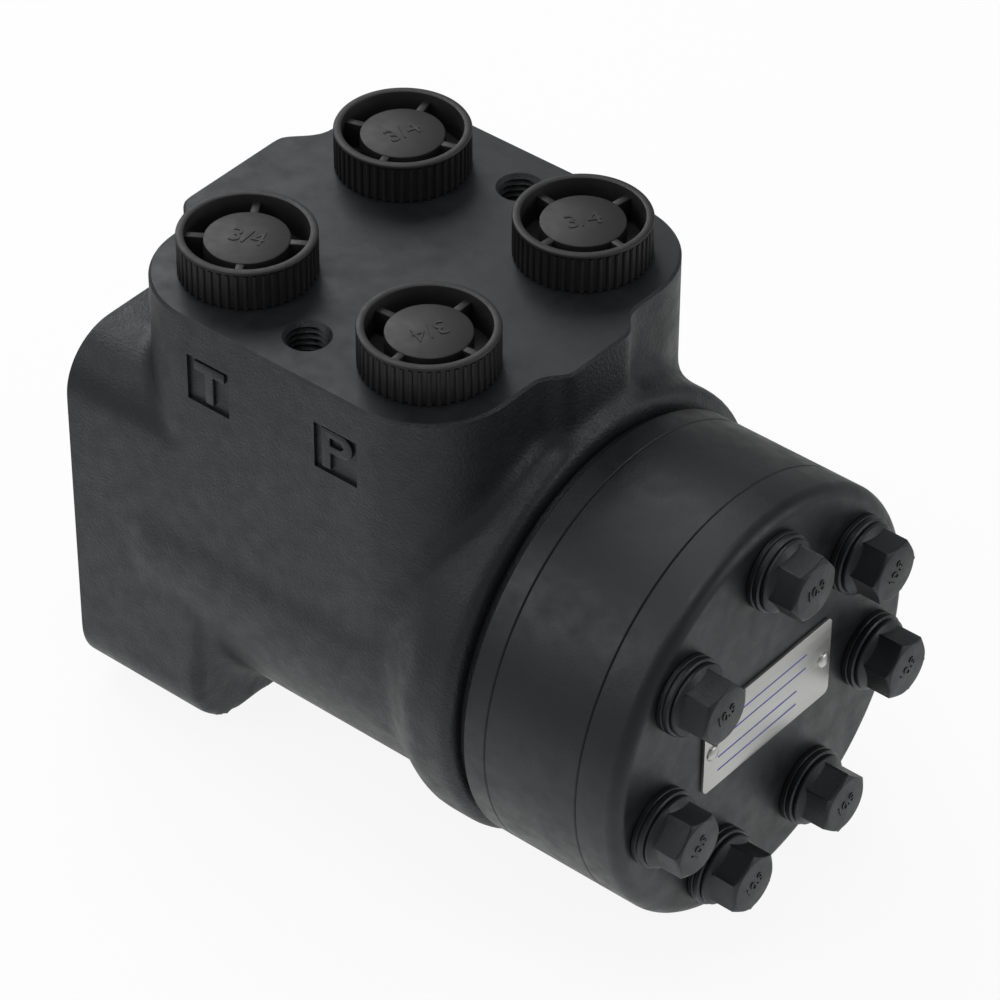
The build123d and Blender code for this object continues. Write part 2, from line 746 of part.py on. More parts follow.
# ---- name plate and its rivets ---------------------------------------------------------
with BuildPart() as name_plate:
    with BuildSketch(across(cover_end)):
        RectangleRounded(name_plate_width, name_plate_height, name_plate_corner_r)
        with Locations((-rivet_pitch / 2, 0), (rivet_pitch / 2, 0)):
            Circle(rivet_r + seal_gap, mode=Mode.SUBTRACT)
    extrude(amount=name_plate_thickness)

with BuildPart() as plate_rivets:
    for y in (-rivet_pitch / 2, rivet_pitch / 2):
        with BuildSketch(across(cover_end + name_plate_thickness)):
            with Locations((y, 0)):
                Circle(rivet_head_r)
        extrude(amount=rivet_head_height)
        with BuildSketch(across(cover_end - rivet_length)):
            with Locations((y, 0)):
                Circle(rivet_r)
        extrude(amount=rivet_length + name_plate_thickness)
    crowns = plate_rivets.edges().filter_by(GeomType.CIRCLE).group_by(Axis.X)[-1]
    fillet(crowns, rivet_head_height * 0.7)

# ---- port caps -------------------------------------------------------------------------
with BuildPart() as cap:
    with BuildSketch(Plane.XY):
        Circle(cap_wall_r)
        with PolarLocations(cap_wall_r, cap_ribs):
            Rectangle(2 * (cap_r - cap_wall_r), cap_rib_width)
    extrude(amount=cap_height - cap_edge_r)
    with BuildSketch(Plane.XY.offset(cap_height - 2 * cap_edge_r)):
        Circle(cap_r)
    extrude(amount=cap_edge_r)
    with BuildSketch(Plane.XY.offset(cap_height - cap_edge_r)):
        Circle(cap_r)
    extrude(amount=cap_edge_r, taper=45)
    with BuildSketch(Plane.XY.offset(cap_floor)):
        Circle(cap_inner_r)
        Circle(cap_disc_r, mode=Mode.SUBTRACT)
        with PolarLocations((cap_inner_r + cap_disc_r) / 2, 4):
            Rectangle(cap_inner_r - cap_disc_r + 1, cap_spoke_width, mode=Mode.SUBTRACT)
    extrude(amount=cap_height, mode=Mode.SUBTRACT)
    with BuildSketch(Plane.XY.offset(cap_height - cap_disc_sink)):
        Circle(cap_inner_r)
    extrude(amount=cap_disc_sink, mode=Mode.SUBTRACT)
    with BuildSketch(Plane.XY.offset(-cap_shank_length)):
        Circle(port_bore_r - cap_shank_gap)
    extrude(amount=cap_shank_length)
    with BuildSketch(Plane.XY.offset(-cap_shank_length)):
        Circle(cap_disc_r - cap_skin)
    extrude(amount=cap_shank_length + cap_height - cap_disc_sink - cap_skin, mode=Mode.SUBTRACT)

port_caps = {}
for name, spot in port_spots.items():
    turned = (cos(radians(cap_turns[name])), sin(radians(cap_turns[name])), 0)
    with BuildPart(Plane(origin=(*spot, port_face_z), x_dir=turned)) as placed_cap:
        add(cap.part)
    port_caps[f"port_cap_{name}"] = placed_cap.part

# ---- labels and files ------------------------------------------------------------------
pieces = {
    "valve_housing": valve_housing.part,
    "dust_seal": dust_seal.part,
    "shaft_seal": shaft_seal.part,
    "bearing_outer_race": bearing_outer_race.part,
    "bearing_cage": bearing_cage.part,
    "bearing_needles": bearing_needles.part,
    "bearing_inner_race": bearing_inner_race.part,
    "sleeve": sleeve.part,
    "spring_ring": spring_ring.part,
    "cross_pin": cross_pin.part,
    "centering_springs": centering_springs.part,
    "spool": spool.part,
    "drive_shaft": drive_shaft.part,
    "distribution_plate": distribution_plate.part,
    "gerotor_ring": gerotor_ring.part,
    "gerotor_star": gerotor_star.part,
    "spacer": spacer.part,
    "end_cover": end_cover.part,
    "cover_bolts": cover_bolts.part,
    "pin_bolt": pin_bolt.part,
    "rolled_pin": rolled_pin.part,
    "washers": washers.part,
    "check_bushing": check_bushing.part,
    "check_ball": check_ball.part,
    "name_plate": name_plate.part,
    "plate_rivets": plate_rivets.part,
    **o_rings,
    **port_caps,
}
os.makedirs("parts", exist_ok=True)
for name, piece in pieces.items():
    piece.label = name
    export_step(piece, f"parts/{name}.step")
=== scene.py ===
import json
import math

import bmesh
import bpy
import numpy as np
import openvdb
from bpy.props import FloatProperty, FloatVectorProperty, IntProperty, PointerProperty
from mathutils import Matrix, Vector


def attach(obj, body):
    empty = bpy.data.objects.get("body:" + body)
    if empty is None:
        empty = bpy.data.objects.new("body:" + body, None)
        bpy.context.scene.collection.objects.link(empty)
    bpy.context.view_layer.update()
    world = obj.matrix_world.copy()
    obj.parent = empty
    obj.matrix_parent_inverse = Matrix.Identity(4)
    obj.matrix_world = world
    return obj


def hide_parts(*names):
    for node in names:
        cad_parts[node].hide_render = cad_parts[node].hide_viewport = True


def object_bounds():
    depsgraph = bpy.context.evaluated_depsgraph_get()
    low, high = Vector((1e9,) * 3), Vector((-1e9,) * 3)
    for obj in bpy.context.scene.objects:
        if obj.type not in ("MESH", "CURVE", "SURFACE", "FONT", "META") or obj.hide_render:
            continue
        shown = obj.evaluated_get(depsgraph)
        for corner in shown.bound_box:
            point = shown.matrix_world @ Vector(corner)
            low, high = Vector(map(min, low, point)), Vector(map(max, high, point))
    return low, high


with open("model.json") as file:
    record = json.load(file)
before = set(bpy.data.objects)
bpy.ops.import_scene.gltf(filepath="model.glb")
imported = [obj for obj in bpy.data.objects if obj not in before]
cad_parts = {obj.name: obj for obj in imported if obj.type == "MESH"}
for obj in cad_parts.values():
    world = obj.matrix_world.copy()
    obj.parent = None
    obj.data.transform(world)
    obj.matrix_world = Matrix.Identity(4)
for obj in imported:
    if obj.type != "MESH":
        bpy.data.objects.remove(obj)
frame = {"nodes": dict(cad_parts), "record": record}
CAD_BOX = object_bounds()

bl_info = {
    "name": "Orbital steering unit",
    "version": (1, 0, 0),
    "blender": (4, 5, 0),
    "location": "View3D > Sidebar > Steering",
    "description": "Builds the visible pieces of an orbital steering unit round its CAD frame",
    "category": "Object",
}

MM = 0.001
SHARP_ANGLE = math.radians(32.0)
ALONG_SHAFT = Matrix(((0, 0, 1, 0), (1, 0, 0, 0), (0, 1, 0, 0), (0, 0, 0, 1)))
TO_NEAR_WALL = Matrix(((1, 0, 0, 0), (0, 0, -1, 0), (0, 1, 0, 0), (0, 0, 0, 1)))

# Places along the shaft, in millimetres from the mounting face
HOUSING_END = 115.0
PLATE_END = 120.75
RING_END = 144.95
COVER_END = 155.8
NAME_PLATE_TOP = 156.6
HEAD_SEAT = 158.8

# The casting, in millimetres
BLOCK_MID = 60.0
BLOCK_HALF = 45.75
BLOCK_CORNER = 21.0
WALL_Y = 46.1               # the block's side walls stand this far off the shaft axis
TABS = ((-1, 6.5, 31.0), (1, 4.5, 19.8))    # bosses on the block's ends: way, reach and width
TAB_CORNER = 4.0
FLANGE_END = 35.5
FLANGE_HALF = 46.75
FLANGE_CORNER = 14.0
FLANGE_DROP = 1.55          # the flange sits this far below the shaft axis
BARREL_RADIUS = 47.0
COLLAR_START = 86.0
COLLAR_CLIMB = 18.0
COLLAR_RADIUS = 52.4
COLLAR_RAISE = 1.5          # the collar stands this far above the shaft axis
COLLAR_END = 113.1
COLLAR_EDGE = 2.4
SPIGOT_RADIUS = 48.4

# Ports, bores and drillings, in millimetres
PORT_PITCH = 49.86
PORT_SPOTS = {
    "t": (BLOCK_MID - PORT_PITCH / 2, -PORT_PITCH / 2),
    "p": (BLOCK_MID + PORT_PITCH / 2, -PORT_PITCH / 2),
    "l": (BLOCK_MID - PORT_PITCH / 2, PORT_PITCH / 2),
    "r": (BLOCK_MID + PORT_PITCH / 2, PORT_PITCH / 2),
}
PORT_RADIUS = 12.06
PORT_DEPTH = 17.0
PORT_THREAD_PITCH = 1.814
TAP_RADIUS = 4.25
FACE_HOLE_Y = 34.4
FACE_HOLE_DEPTH = 18.0
MOUNT_CIRCLE = 41.25
MOUNT_DEPTH = 16.0
GALLERY_STEPS = {"t": (-6.5, 3.0), "p": (6.5, 3.0), "l": (6.5, -3.0), "r": (-6.5, -3.0)}
GALLERY_RADIUS = 25.0
DRILL_RADIUS = 4.5
DRILL_LAP = 8.5             # the galleries' drillings run this far up past the ports' floors
SLEEVE_BORE = 19.03
BORE_STEPS = (
    (4.0, 18.5), (6.6, 13.1), (10.0, 16.5), (12.0, 13.1), (25.57, SLEEVE_BORE),
    (31.57, GALLERY_RADIUS), (38.57, SLEEVE_BORE), (44.57, GALLERY_RADIUS), (75.43, SLEEVE_BORE),
    (81.43, GALLERY_RADIUS), (88.43, SLEEVE_BORE), (94.43, GALLERY_RADIUS),
    (HOUSING_END + 1, SLEEVE_BORE),
)
SCREW_CIRCLE = 37.2
SCREW_COUNT = 7
SCREW_ANGLES = [90 + 360 * index / SCREW_COUNT for index in range(SCREW_COUNT)]
ROOT_ANGLES = [90 + 360 * (index + 0.5) / SCREW_COUNT for index in range(SCREW_COUNT)]
SCREW_TURNS = (7, 13, 48, 29, 21, 44, 55)
PIN_INDEX = 4               # the screw that closes the check valve
TAPPED_RADIUS = 4.02
TAPPED_START = 97.0
CLEAR_RADIUS = 4.3
OIL_HOLE_CIRCLE = 29.5
OIL_HOLE_RADIUS = 2.4
OIL_WAY = ((116.5, 30.48), (99.0, 19.0))    # from the plate to the bore: x, distance from the axis
LINK_RADIUS = 2.0           # drillings from the check valve to the bore
RETURN_X, SUPPLY_X = 28.57, 91.43
VALVE_STEPS = ((84.71, 2.5), (100.0, 4.65), (HOUSING_END + 1, 6.02))
SEAL_GROOVE = (43.4, 45.8)
GROOVE_DEPTH = 1.82
OVERCUT = 3.0               # cutters run this far past a plate's faces

# Lobes of the gear ring, name plate and rivets, in millimetres
RING_ROOT = 33.8
LOBE_CIRCLE = 35.0
LOBE_RADIUS = 7.5
NAME_PLATE_HALF = (21.75, 10.5)
NAME_PLATE_CORNER = 1.6
RIVET_Y = 19.1
RIVET_POCKET = (1.22, 4.0)  # radius and depth
RULES = ((-2.0, 5.6, 30.0), (-2.0, 1.9, 30.0), (-3.5, -2.6, 27.0), (-3.5, -6.3, 27.0))

# Fields of the port marks on the near wall and the eye of the P, in millimetres
MARK_LEFTS = (36.5, 71.8)
MARK_LOW = 49.2
MARK_SIDE = 11.6
MARK_EYE = [(76.1, 56.5), (79.0, 56.5), (79.9, 57.5), (79.0, 58.6), (76.1, 58.6)]

# Turns of the caps and of the marks on them, in degrees
CAP_TURNS = {"t": 33.0, "p": 3.0, "l": 17.5, "r": 83.0}
CAP_MARK_TURNS = {"t": -11.0, "p": 246.0, "l": 57.0, "r": -26.0}

# Machined faces of the casting, the floor, the lamps and the camera, in metres
MACHINED_ABOVE = 0.0700
MACHINED_BEFORE = 0.0001
FLOOR_REACH = 3.0
LAMP_AIM = (0.08, 0.0, 0.01)
LAMPS = {                   # share of the key lamp's power, width and place
    "key": (1.0, 0.8, (-0.75, 0.35, 0.75)),
    "top": (0.5, 0.6, (0.1, -0.15, 1.1)),
    "front": (0.5, 0.7, (-0.5, -0.8, 0.7)),
    "side": (0.35, 0.5, (1.0, 0.55, 0.35)),
}
CAMERA_LENS = 171.87
CAMERA_AXES = Matrix((
    (0.76881, -0.40794, 0.49245, 0.5886),
    (0.63945, 0.48463, -0.59685, -0.61235),
    (0.00482, 0.77377, 0.63345, 0.6671),
    (0, 0, 0, 1),
))


def size(name, description, default):
    """A number that a user can change."""
    return FloatProperty(name=name, description=description, default=default, min=0.0)


def colour(name, description, default):
    limits = {"subtype": "COLOR", "size": 3, "min": 0.0, "max": 1.0}
    return FloatVectorProperty(name=name, description=description, default=default, **limits)


# ---- sizes and colours that a user would change ----


class HousingSizes(bpy.types.PropertyGroup):
    """Sizes of the cast valve housing, in millimetres."""

    voxel: size("Voxel", "Spacing of the casting's grid", 0.9)
    fillet: size("Fillet", "Radius cast into every inner corner", 3.5)
    rounding: size("Rounding", "Radius cast on every outer corner", 1.3)
    port_face: size("Port face", "Height of the port face", 70.15)
    port_chamfer: size("Port face chamfer", "Chamfer round the port face", 0.6)
    mark_depth: size("Mark depth", "Depth of the field round a port mark", 0.75)
    thread_pitch: size("Thread pitch", "Pitch of the M10 threads", 1.5)


class StackSizes(bpy.types.PropertyGroup):
    """Sizes of the gear set's plates, in millimetres."""

    radius: size("Radius", "Outer radius of the plates", 50.0)
    edge: size("Edge", "Chamfer turned on each plate's edges", 0.3)
    cover_edge: size("Cover edge", "Radius of the cover's outer edge", 3.2)


class FastenerSizes(bpy.types.PropertyGroup):
    """Sizes of the cover screws, in millimetres."""

    flats: size("Across flats", "Size of the hexagon", 13.0)
    flange: size("Flange radius", "Radius of the head's flange", 8.3)
    head: size("Head height", "Height of the head without its raised number", 8.16)
    washer: size("Washer radius", "Outer radius of the washers", 8.9)


class CapSizes(bpy.types.PropertyGroup):
    """Sizes of the port caps, in millimetres."""

    radius: size("Radius", "Radius over the grip ribs", 15.0)
    height: size("Height", "Height above the port face", 9.68)
    ribs: IntProperty(name="Ribs", description="Number of grip ribs", default=48)


class FinishColours(bpy.types.PropertyGroup):
    """Colours of the finishes."""

    paint: colour("Casting paint", "Matt black paint on the casting", (0.0058, 0.0062, 0.0072))
    satin: colour("Satin paint", "Satin black paint on turned steel", (0.0062, 0.0065, 0.0074))
    plastic: colour("Cap plastic", "Moulded black plastic", (0.0075, 0.0075, 0.0078))
    plate: colour("Plate", "Brushed aluminium", (0.56, 0.56, 0.55))
    ink: colour("Ink", "Printed rules on the plate", (0.030, 0.040, 0.30))


class StageLook(bpy.types.PropertyGroup):
    """Lamps and floor."""

    key: FloatProperty(name="Key", description="Power of the main lamp", default=5.6, unit="POWER")
    ambient: size("Ambient", "Strength of the sky light", 0.5)
    overhead: size("Overhead", "How bright the ceiling is in reflections", 0.2)


GROUPS = {
    "unit_housing": HousingSizes,
    "unit_stack": StackSizes,
    "unit_fasteners": FastenerSizes,
    "unit_caps": CapSizes,
    "unit_colours": FinishColours,
    "unit_stage": StageLook,
}


# ---- small mesh tools ----


def mesh_from(name, points, faces):
    mesh = bpy.data.meshes.new(name)
    mesh.from_pydata([tuple(p) for p in points], [], [tuple(f) for f in faces])
    mesh.validate()
    return mesh


def outward(mesh):
    """Merges doubles and turns every face outwards."""
    work = bmesh.new()
    work.from_mesh(mesh)
    bmesh.ops.remove_doubles(work, verts=work.verts, dist=1e-7)
    bmesh.ops.recalc_face_normals(work, faces=work.faces)
    work.to_mesh(mesh)
    work.free()
    return mesh


def turned(name, profile, segments=128):
    """A lathe form about Z from a closed profile of (radius, height) points, in millimetres."""
    points, rings, faces = [], [], []
    for radius, height in profile:
        if radius < 1e-6:
            rings.append([len(points)] * segments)
            points.append((0, 0, height * MM))
            continue
        rings.append(list(range(len(points), len(points) + segments)))
        for step in range(segments):
            angle = 2 * math.pi * step / segments
            across, up = radius * math.cos(angle), radius * math.sin(angle)
            points.append((across * MM, up * MM, height * MM))
    for index, ring in enumerate(rings):
        after = rings[(index + 1) % len(rings)]
        for step in range(segments):
            beside = (step + 1) % segments
            face = list(dict.fromkeys((ring[step], ring[beside], after[beside], after[step])))
            if len(face) > 2:
                faces.append(face)
    return outward(mesh_from(name, points, faces))


def prism(name, outline, low, high):
    """A solid of that outline of (x, y) points between two heights, in millimetres."""
    count = len(outline)
    points = [(x * MM, y * MM, z * MM) for z in (low, high) for x, y in outline]
    faces = [list(range(count))[::-1], list(range(count, 2 * count))]
    for step in range(count):
        after = (step + 1) % count
        faces.append([step, after, count + after, count + step])
    return outward(mesh_from(name, points, faces))


def placed(mesh, matrix):
    mesh.transform(matrix)
    if matrix.determinant() < 0:
        mesh.flip_normals()
    return mesh


def shifted(mesh, x=0.0, y=0.0, z=0.0):
    return placed(mesh, Matrix.Translation((x * MM, y * MM, z * MM)))


def joined(name, meshes):
    work = bmesh.new()
    for mesh in meshes:
        work.from_mesh(mesh)
    result = bpy.data.meshes.new(name)
    work.to_mesh(result)
    work.free()
    return result


def held(name, data):
    """A new object of the scene with that data."""
    obj = bpy.data.objects.new(name, data)
    bpy.context.collection.objects.link(obj)
    return obj


def evaluated(obj):
    """The object's final mesh; the object itself is taken away."""
    bpy.context.view_layer.update()
    graph = bpy.context.evaluated_depsgraph_get()
    result = bpy.data.meshes.new_from_object(obj.evaluated_get(graph))
    bpy.data.objects.remove(obj)
    return result


def carved(name, body, tools, operation="DIFFERENCE"):
    """The body less each tool, or joined with it."""
    holder = held(name, body)
    helpers = []
    for tool in tools:
        helper = held("tool", tool)
        helpers.append(helper)
        step = holder.modifiers.new("cut", "BOOLEAN")
        step.operation = operation
        step.solver = "MANIFOLD"
        step.object = helper
    result = evaluated(holder)
    if not result.polygons:
        raise RuntimeError(f"{name} came out empty")
    for helper in helpers:
        bpy.data.objects.remove(helper)
    return result


def bevelled(name, mesh, width, segments=2, degrees=35.0):
    holder = held(name, mesh)
    step = holder.modifiers.new("bevel", "BEVEL")
    step.width = width * MM
    step.segments = segments
    step.limit_method = "ANGLE"
    step.angle_limit = math.radians(degrees)
    step.use_clamp_overlap = True
    return evaluated(holder)


def threaded(name, radius, depth, low, high, pitch, segments=40, rows_per_pitch=6):
    """A screw form about Z, which cuts a thread of that depth out to the larger radius."""
    rows = int(round((high - low) / pitch * rows_per_pitch))
    points, faces = [], []
    for row in range(rows + 1):
        z = low + (high - low) * row / rows
        for step in range(segments):
            phase = ((z - low) / pitch - step / segments) % 1.0
            reach = radius + depth * (1 - abs(2 * phase - 1))
            angle = 2 * math.pi * step / segments
            points.append((reach * math.cos(angle) * MM, reach * math.sin(angle) * MM, z * MM))
    for row in range(rows):
        for step in range(segments):
            after = (step + 1) % segments
            base = row * segments
            above = base + segments
            faces.append([base + step, base + after, above + after, above + step])
    faces.append(list(range(segments))[::-1])
    faces.append([rows * segments + step for step in range(segments)])
    return outward(mesh_from(name, points, faces))


def rod(name, radius, low, high, segments=32):
    """A plain cylinder about Z, in millimetres."""
    return turned(name, [(0, low), (radius, low), (radius, high), (0, high)], segments)


def cone(name, bottom, top, segments):
    """A cone about Z between two (radius, height) points, in millimetres."""
    return turned(name, [(0, bottom[1]), bottom, top, (0, top[1])], segments)


def lettered(name, text, tall, height):
    """Raised characters about the origin, facing +Z, in millimetres."""
    curve = bpy.data.curves.new(name, "FONT")
    curve.body = text
    curve.size = tall * MM
    curve.align_x = "CENTER"
    curve.align_y = "CENTER"
    curve.extrude = height * MM / 2
    curve.resolution_u = 4
    return shifted(outward(evaluated(held(name, curve))), z=height / 2)


def finished(name, mesh, slot, body, replaced=(), coat=None):
    """Puts a finished mesh on its body with the finish of its slot, or with another coat."""
    mesh.name = name
    mesh.shade_smooth()
    mesh.set_sharp_from_angle(angle=SHARP_ANGLE)
    mesh.materials.clear()
    mesh.materials.append(finish(coat or slot))
    obj = held(name, mesh)
    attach(obj, body)
    if replaced:
        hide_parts(*replaced)
    return obj


# ---- repeats by Geometry Nodes ----


def feed(tree, node, inputs):
    """Gives a node's inputs their values, or links them from other nodes' outputs."""
    for key, value in dict(inputs).items():
        if isinstance(value, bpy.types.NodeSocket):
            tree.links.new(value, node.inputs[key])
        else:
            node.inputs[key].default_value = value


def add(tree, kind, inputs=(), **settings):
    """A new node with those settings and inputs."""
    node = tree.nodes.new(kind)
    for name, value in settings.items():
        setattr(node, name, value)
    feed(tree, node, inputs)
    return node


def maths(tree, operation, *values):
    """The result of a maths node."""
    return add(tree, "ShaderNodeMath", enumerate(values), operation=operation).outputs[0]


def ring_tree(name, turns):
    """A node tree that sets copies of its geometry round a circle about Z.

    Each copy turns with the circle and by its own entry of the list of turns, if there is one."""
    tree = bpy.data.node_groups.new(name, "GeometryNodeTree")
    sockets = [
        ("Geometry", "Geometry"), ("Count", "Int"), ("Radius", "Float"), ("Start", "Float"),
        ("Follow", "Float"), ("Skipped", "Int"), ("Material", "Material"),
    ]
    sockets += [(f"Turn {index}", "Float") for index in range(turns)]
    for label, kind in sockets:
        tree.interface.new_socket(label, in_out="INPUT", socket_type=f"NodeSocket{kind}")
    tree.interface.new_socket("Geometry", in_out="OUTPUT", socket_type="NodeSocketGeometry")
    given = add(tree, "NodeGroupInput").outputs
    index = add(tree, "GeometryNodeInputIndex").outputs[0]
    step = maths(tree, "DIVIDE", 2 * math.pi, given["Count"])
    angle = maths(tree, "ADD", maths(tree, "MULTIPLY", index, step), given["Start"])
    spot = add(tree, "ShaderNodeCombineXYZ", {
        0: maths(tree, "MULTIPLY", maths(tree, "COSINE", angle), given["Radius"]),
        1: maths(tree, "MULTIPLY", maths(tree, "SINE", angle), given["Radius"]),
    })
    points = add(tree, "GeometryNodePoints", {"Count": given["Count"], "Position": spot.outputs[0]})
    turn = maths(tree, "MULTIPLY", angle, given["Follow"])
    if turns:
        choice = add(tree, "GeometryNodeIndexSwitch", data_type="FLOAT")
        while len(choice.index_switch_items) < turns:
            choice.index_switch_items.new()
        feed(tree, choice, {"Index": index})
        feed(tree, choice, {1 + entry: given[f"Turn {entry}"] for entry in range(turns)})
        turn = maths(tree, "ADD", turn, choice.outputs[0])
    compared = {2: index, 3: given["Skipped"]}
    kept = add(tree, "FunctionNodeCompare", compared, data_type="INT", operation="NOT_EQUAL")
    copies = add(tree, "GeometryNodeInstanceOnPoints", {
        "Points": points.outputs[0],
        "Selection": kept.outputs[0],
        "Instance": given["Geometry"],
        "Rotation": add(tree, "ShaderNodeCombineXYZ", {2: turn}).outputs[0],
    })
    real = add(tree, "GeometryNodeRealizeInstances", {0: copies.outputs[0]})
    coated = {"Geometry": real.outputs[0], "Material": given["Material"]}
    coat = add(tree, "GeometryNodeSetMaterial", coated)
    add(tree, "NodeGroupOutput", {0: coat.outputs[0]})
    return tree


def ring_of(name, mesh, slot, count, radius, start=0.0, follow=0.0, skipped=-1, turns=()):
    """Copies of a mesh round a circle about Z, as one plain mesh. Angles are in degrees."""
    tree = ring_tree(name, len(turns))
    holder = held(name, mesh)
    step = holder.modifiers.new("ring", "NODES")
    step.node_group = tree
    values = {
        "Count": count,
        "Radius": radius * MM,
        "Start": math.radians(start),
        "Follow": follow,
        "Skipped": skipped,
        "Material": finish(slot),
    }
    for index, turn in enumerate(turns):
        values[f"Turn {index}"] = math.radians(turn)
    for item in tree.interface.items_tree:
        if item.in_out == "INPUT" and item.name in values:
            step[item.identifier] = values[item.name]
    result = evaluated(holder)
    bpy.data.node_groups.remove(tree)
    return result


# ---- finishes ----


def noise(tree, space, scale, detail=4.0, roughness=0.6):
    inputs = {"Vector": space, "Scale": scale, "Detail": detail, "Roughness": roughness}
    return add(tree, "ShaderNodeTexNoise", inputs).outputs["Fac"]


def ramp(tree, source, low, high, start=0.3, end=0.7):
    """The source spread between two values or two colours."""
    node = add(tree, "ShaderNodeValToRGB", {"Fac": source})
    for element, place, value in zip(node.color_ramp.elements, (start, end), (low, high)):
        element.position = place
        element.color = (*value, 1.0) if hasattr(value, "__len__") else (value, value, value, 1.0)
    return node.outputs["Color"]


def new_finish(name):
    material = bpy.data.materials.new(name)
    material.use_nodes = True
    tree = material.node_tree
    shader = next(node for node in tree.nodes if node.type == "BSDF_PRINCIPLED")
    return material, tree, shader, add(tree, "ShaderNodeTexCoord").outputs["Object"]


def grained(tree, shader, layers):
    """Bumps stacked on the shader: (height source, distance in millimetres, strength) each."""
    below = {}
    for source, distance, strength in layers:
        inputs = {"Height": source, "Distance": distance * MM, "Strength": strength, **below}
        below = {"Normal": add(tree, "ShaderNodeBump", inputs).outputs["Normal"]}
    feed(tree, shader, below)


def shaded(base, factor):
    return tuple(min(1.0, part * factor) for part in base)


def rough_share(tree, space, height):
    """The height where the surface was left as cast, and nothing of it on the machined faces."""
    axes = add(tree, "ShaderNodeSeparateXYZ", {0: space}).outputs
    under_ports = maths(tree, "LESS_THAN", axes["Z"], MACHINED_ABOVE)
    past_mounting = maths(tree, "GREATER_THAN", axes["X"], MACHINED_BEFORE)
    return maths(tree, "MULTIPLY", maths(tree, "MULTIPLY", under_ports, past_mounting), height)


def paint_finish(name, base, rough, coarse, fine, grit, cast=False):
    """Black paint with the casting's or the lathe's grain showing through."""
    material, tree, shader, space = new_finish(name)
    cloud, patch = noise(tree, space, 60.0, 3.0), noise(tree, space, 220.0, 4.0)
    feed(tree, shader, {
        "Base Color": ramp(tree, cloud, shaded(base, 0.82), shaded(base, 1.2)),
        "Roughness": ramp(tree, patch, rough - 0.07, rough + 0.08),
        "Specular IOR Level": 0.5,
        "Specular Tint": (0.92, 0.96, 1.0, 1.0),
    })
    heights = [noise(tree, space, coarse, 3.0, 0.55), noise(tree, space, fine, 2.0, 0.5)]
    if cast:
        heights = [rough_share(tree, space, height) for height in heights]
        heights.append(noise(tree, space, fine, 2.0, 0.5))
    reaches = (grit, grit * 0.35, 0.012)
    grained(tree, shader, [(height, reach, 0.8) for height, reach in zip(heights, reaches)])
    return material


def plastic_finish(name, base, rough):
    material, tree, shader, space = new_finish(name)
    cloud, patch = noise(tree, space, 110.0, 3.0), noise(tree, space, 400.0, 3.0)
    feed(tree, shader, {
        "Base Color": ramp(tree, cloud, shaded(base, 0.88), shaded(base, 1.15)),
        "Roughness": ramp(tree, patch, rough - 0.05, rough + 0.07),
    })
    grained(tree, shader, [(noise(tree, space, 2600.0, 2.0), 0.02, 0.35)])
    return material


def metal_finish(name, base, rough, stretch, scale):
    """Bare metal brushed or ground along the axis whose stretch is smallest."""
    material, tree, shader, space = new_finish(name)
    mapping = add(tree, "ShaderNodeMapping", {"Vector": space, "Scale": stretch})
    hair = noise(tree, mapping.outputs["Vector"], scale, 4.0, 0.65)
    cloud = noise(tree, space, 90.0, 2.0)
    layers = {
        "Factor": 1.0,
        "A": ramp(tree, hair, shaded(base, 0.88), shaded(base, 1.06)),
        "B": ramp(tree, cloud, 0.93, 1.0),
    }
    mixed = add(tree, "ShaderNodeMix", layers, data_type="RGBA", blend_type="MULTIPLY")
    feed(tree, shader, {
        "Base Color": mixed.outputs["Result"],
        "Roughness": ramp(tree, hair, rough - 0.06, rough + 0.1),
        "Metallic": 1.0,
    })
    grained(tree, shader, [(hair, 0.01, 0.3)])
    return material


FINISHES = {}


def finish(slot):
    """The finish of one of the record's material slots, made once."""
    if slot in FINISHES:
        return FINISHES[slot]
    tints = bpy.context.scene.unit_colours
    paint, satin, plastic = tuple(tints.paint), tuple(tints.satin), tuple(tints.plastic)
    plate, ink = tuple(tints.plate), tuple(tints.ink)
    evenly, lengthways, along = (1.0, 1.0, 1.0), (1.0, 0.03, 1.0), (1.0, 0.05, 1.0)
    makers = {
        "cast_housing": (paint_finish, paint, 0.46, 1500.0, 3200.0, 0.2, True),
        "painted_steel": (paint_finish, satin, 0.44, 1500.0, 3400.0, 0.05),
        "bolt_steel": (paint_finish, satin, 0.45, 1300.0, 3000.0, 0.07),
        "washer_steel": (paint_finish, satin, 0.42, 1800.0, 4200.0, 0.05),
        "cap_plastic": (plastic_finish, plastic, 0.5),
        "plate_metal": (metal_finish, plate, 0.42, lengthways, 1800.0),
        "rivet_metal": (metal_finish, (0.55, 0.55, 0.54), 0.35, evenly, 1500.0),
        "seal_rubber": (plastic_finish, (0.018, 0.018, 0.019), 0.62),
        "ground_steel": (metal_finish, (0.45, 0.45, 0.46), 0.32, along, 1600.0),
        "plate_ink": (plastic_finish, ink, 0.5),
    }
    if slot not in makers:
        raise ValueError(f"no finish is written for {slot}")
    maker, *values = makers[slot]
    FINISHES[slot] = maker(slot, *values)
    return FINISHES[slot]


# ---- the cast housing ----


def box_field(x, y, half_x, half_y, corner):
    """Distance to a rounded rectangle about the origin."""
    dx = np.abs(x) - half_x + corner
    dy = np.abs(y) - half_y + corner
    outside = np.hypot(np.maximum(dx, 0), np.maximum(dy, 0))
    return outside + np.minimum(np.maximum(dx, dy), 0) - corner


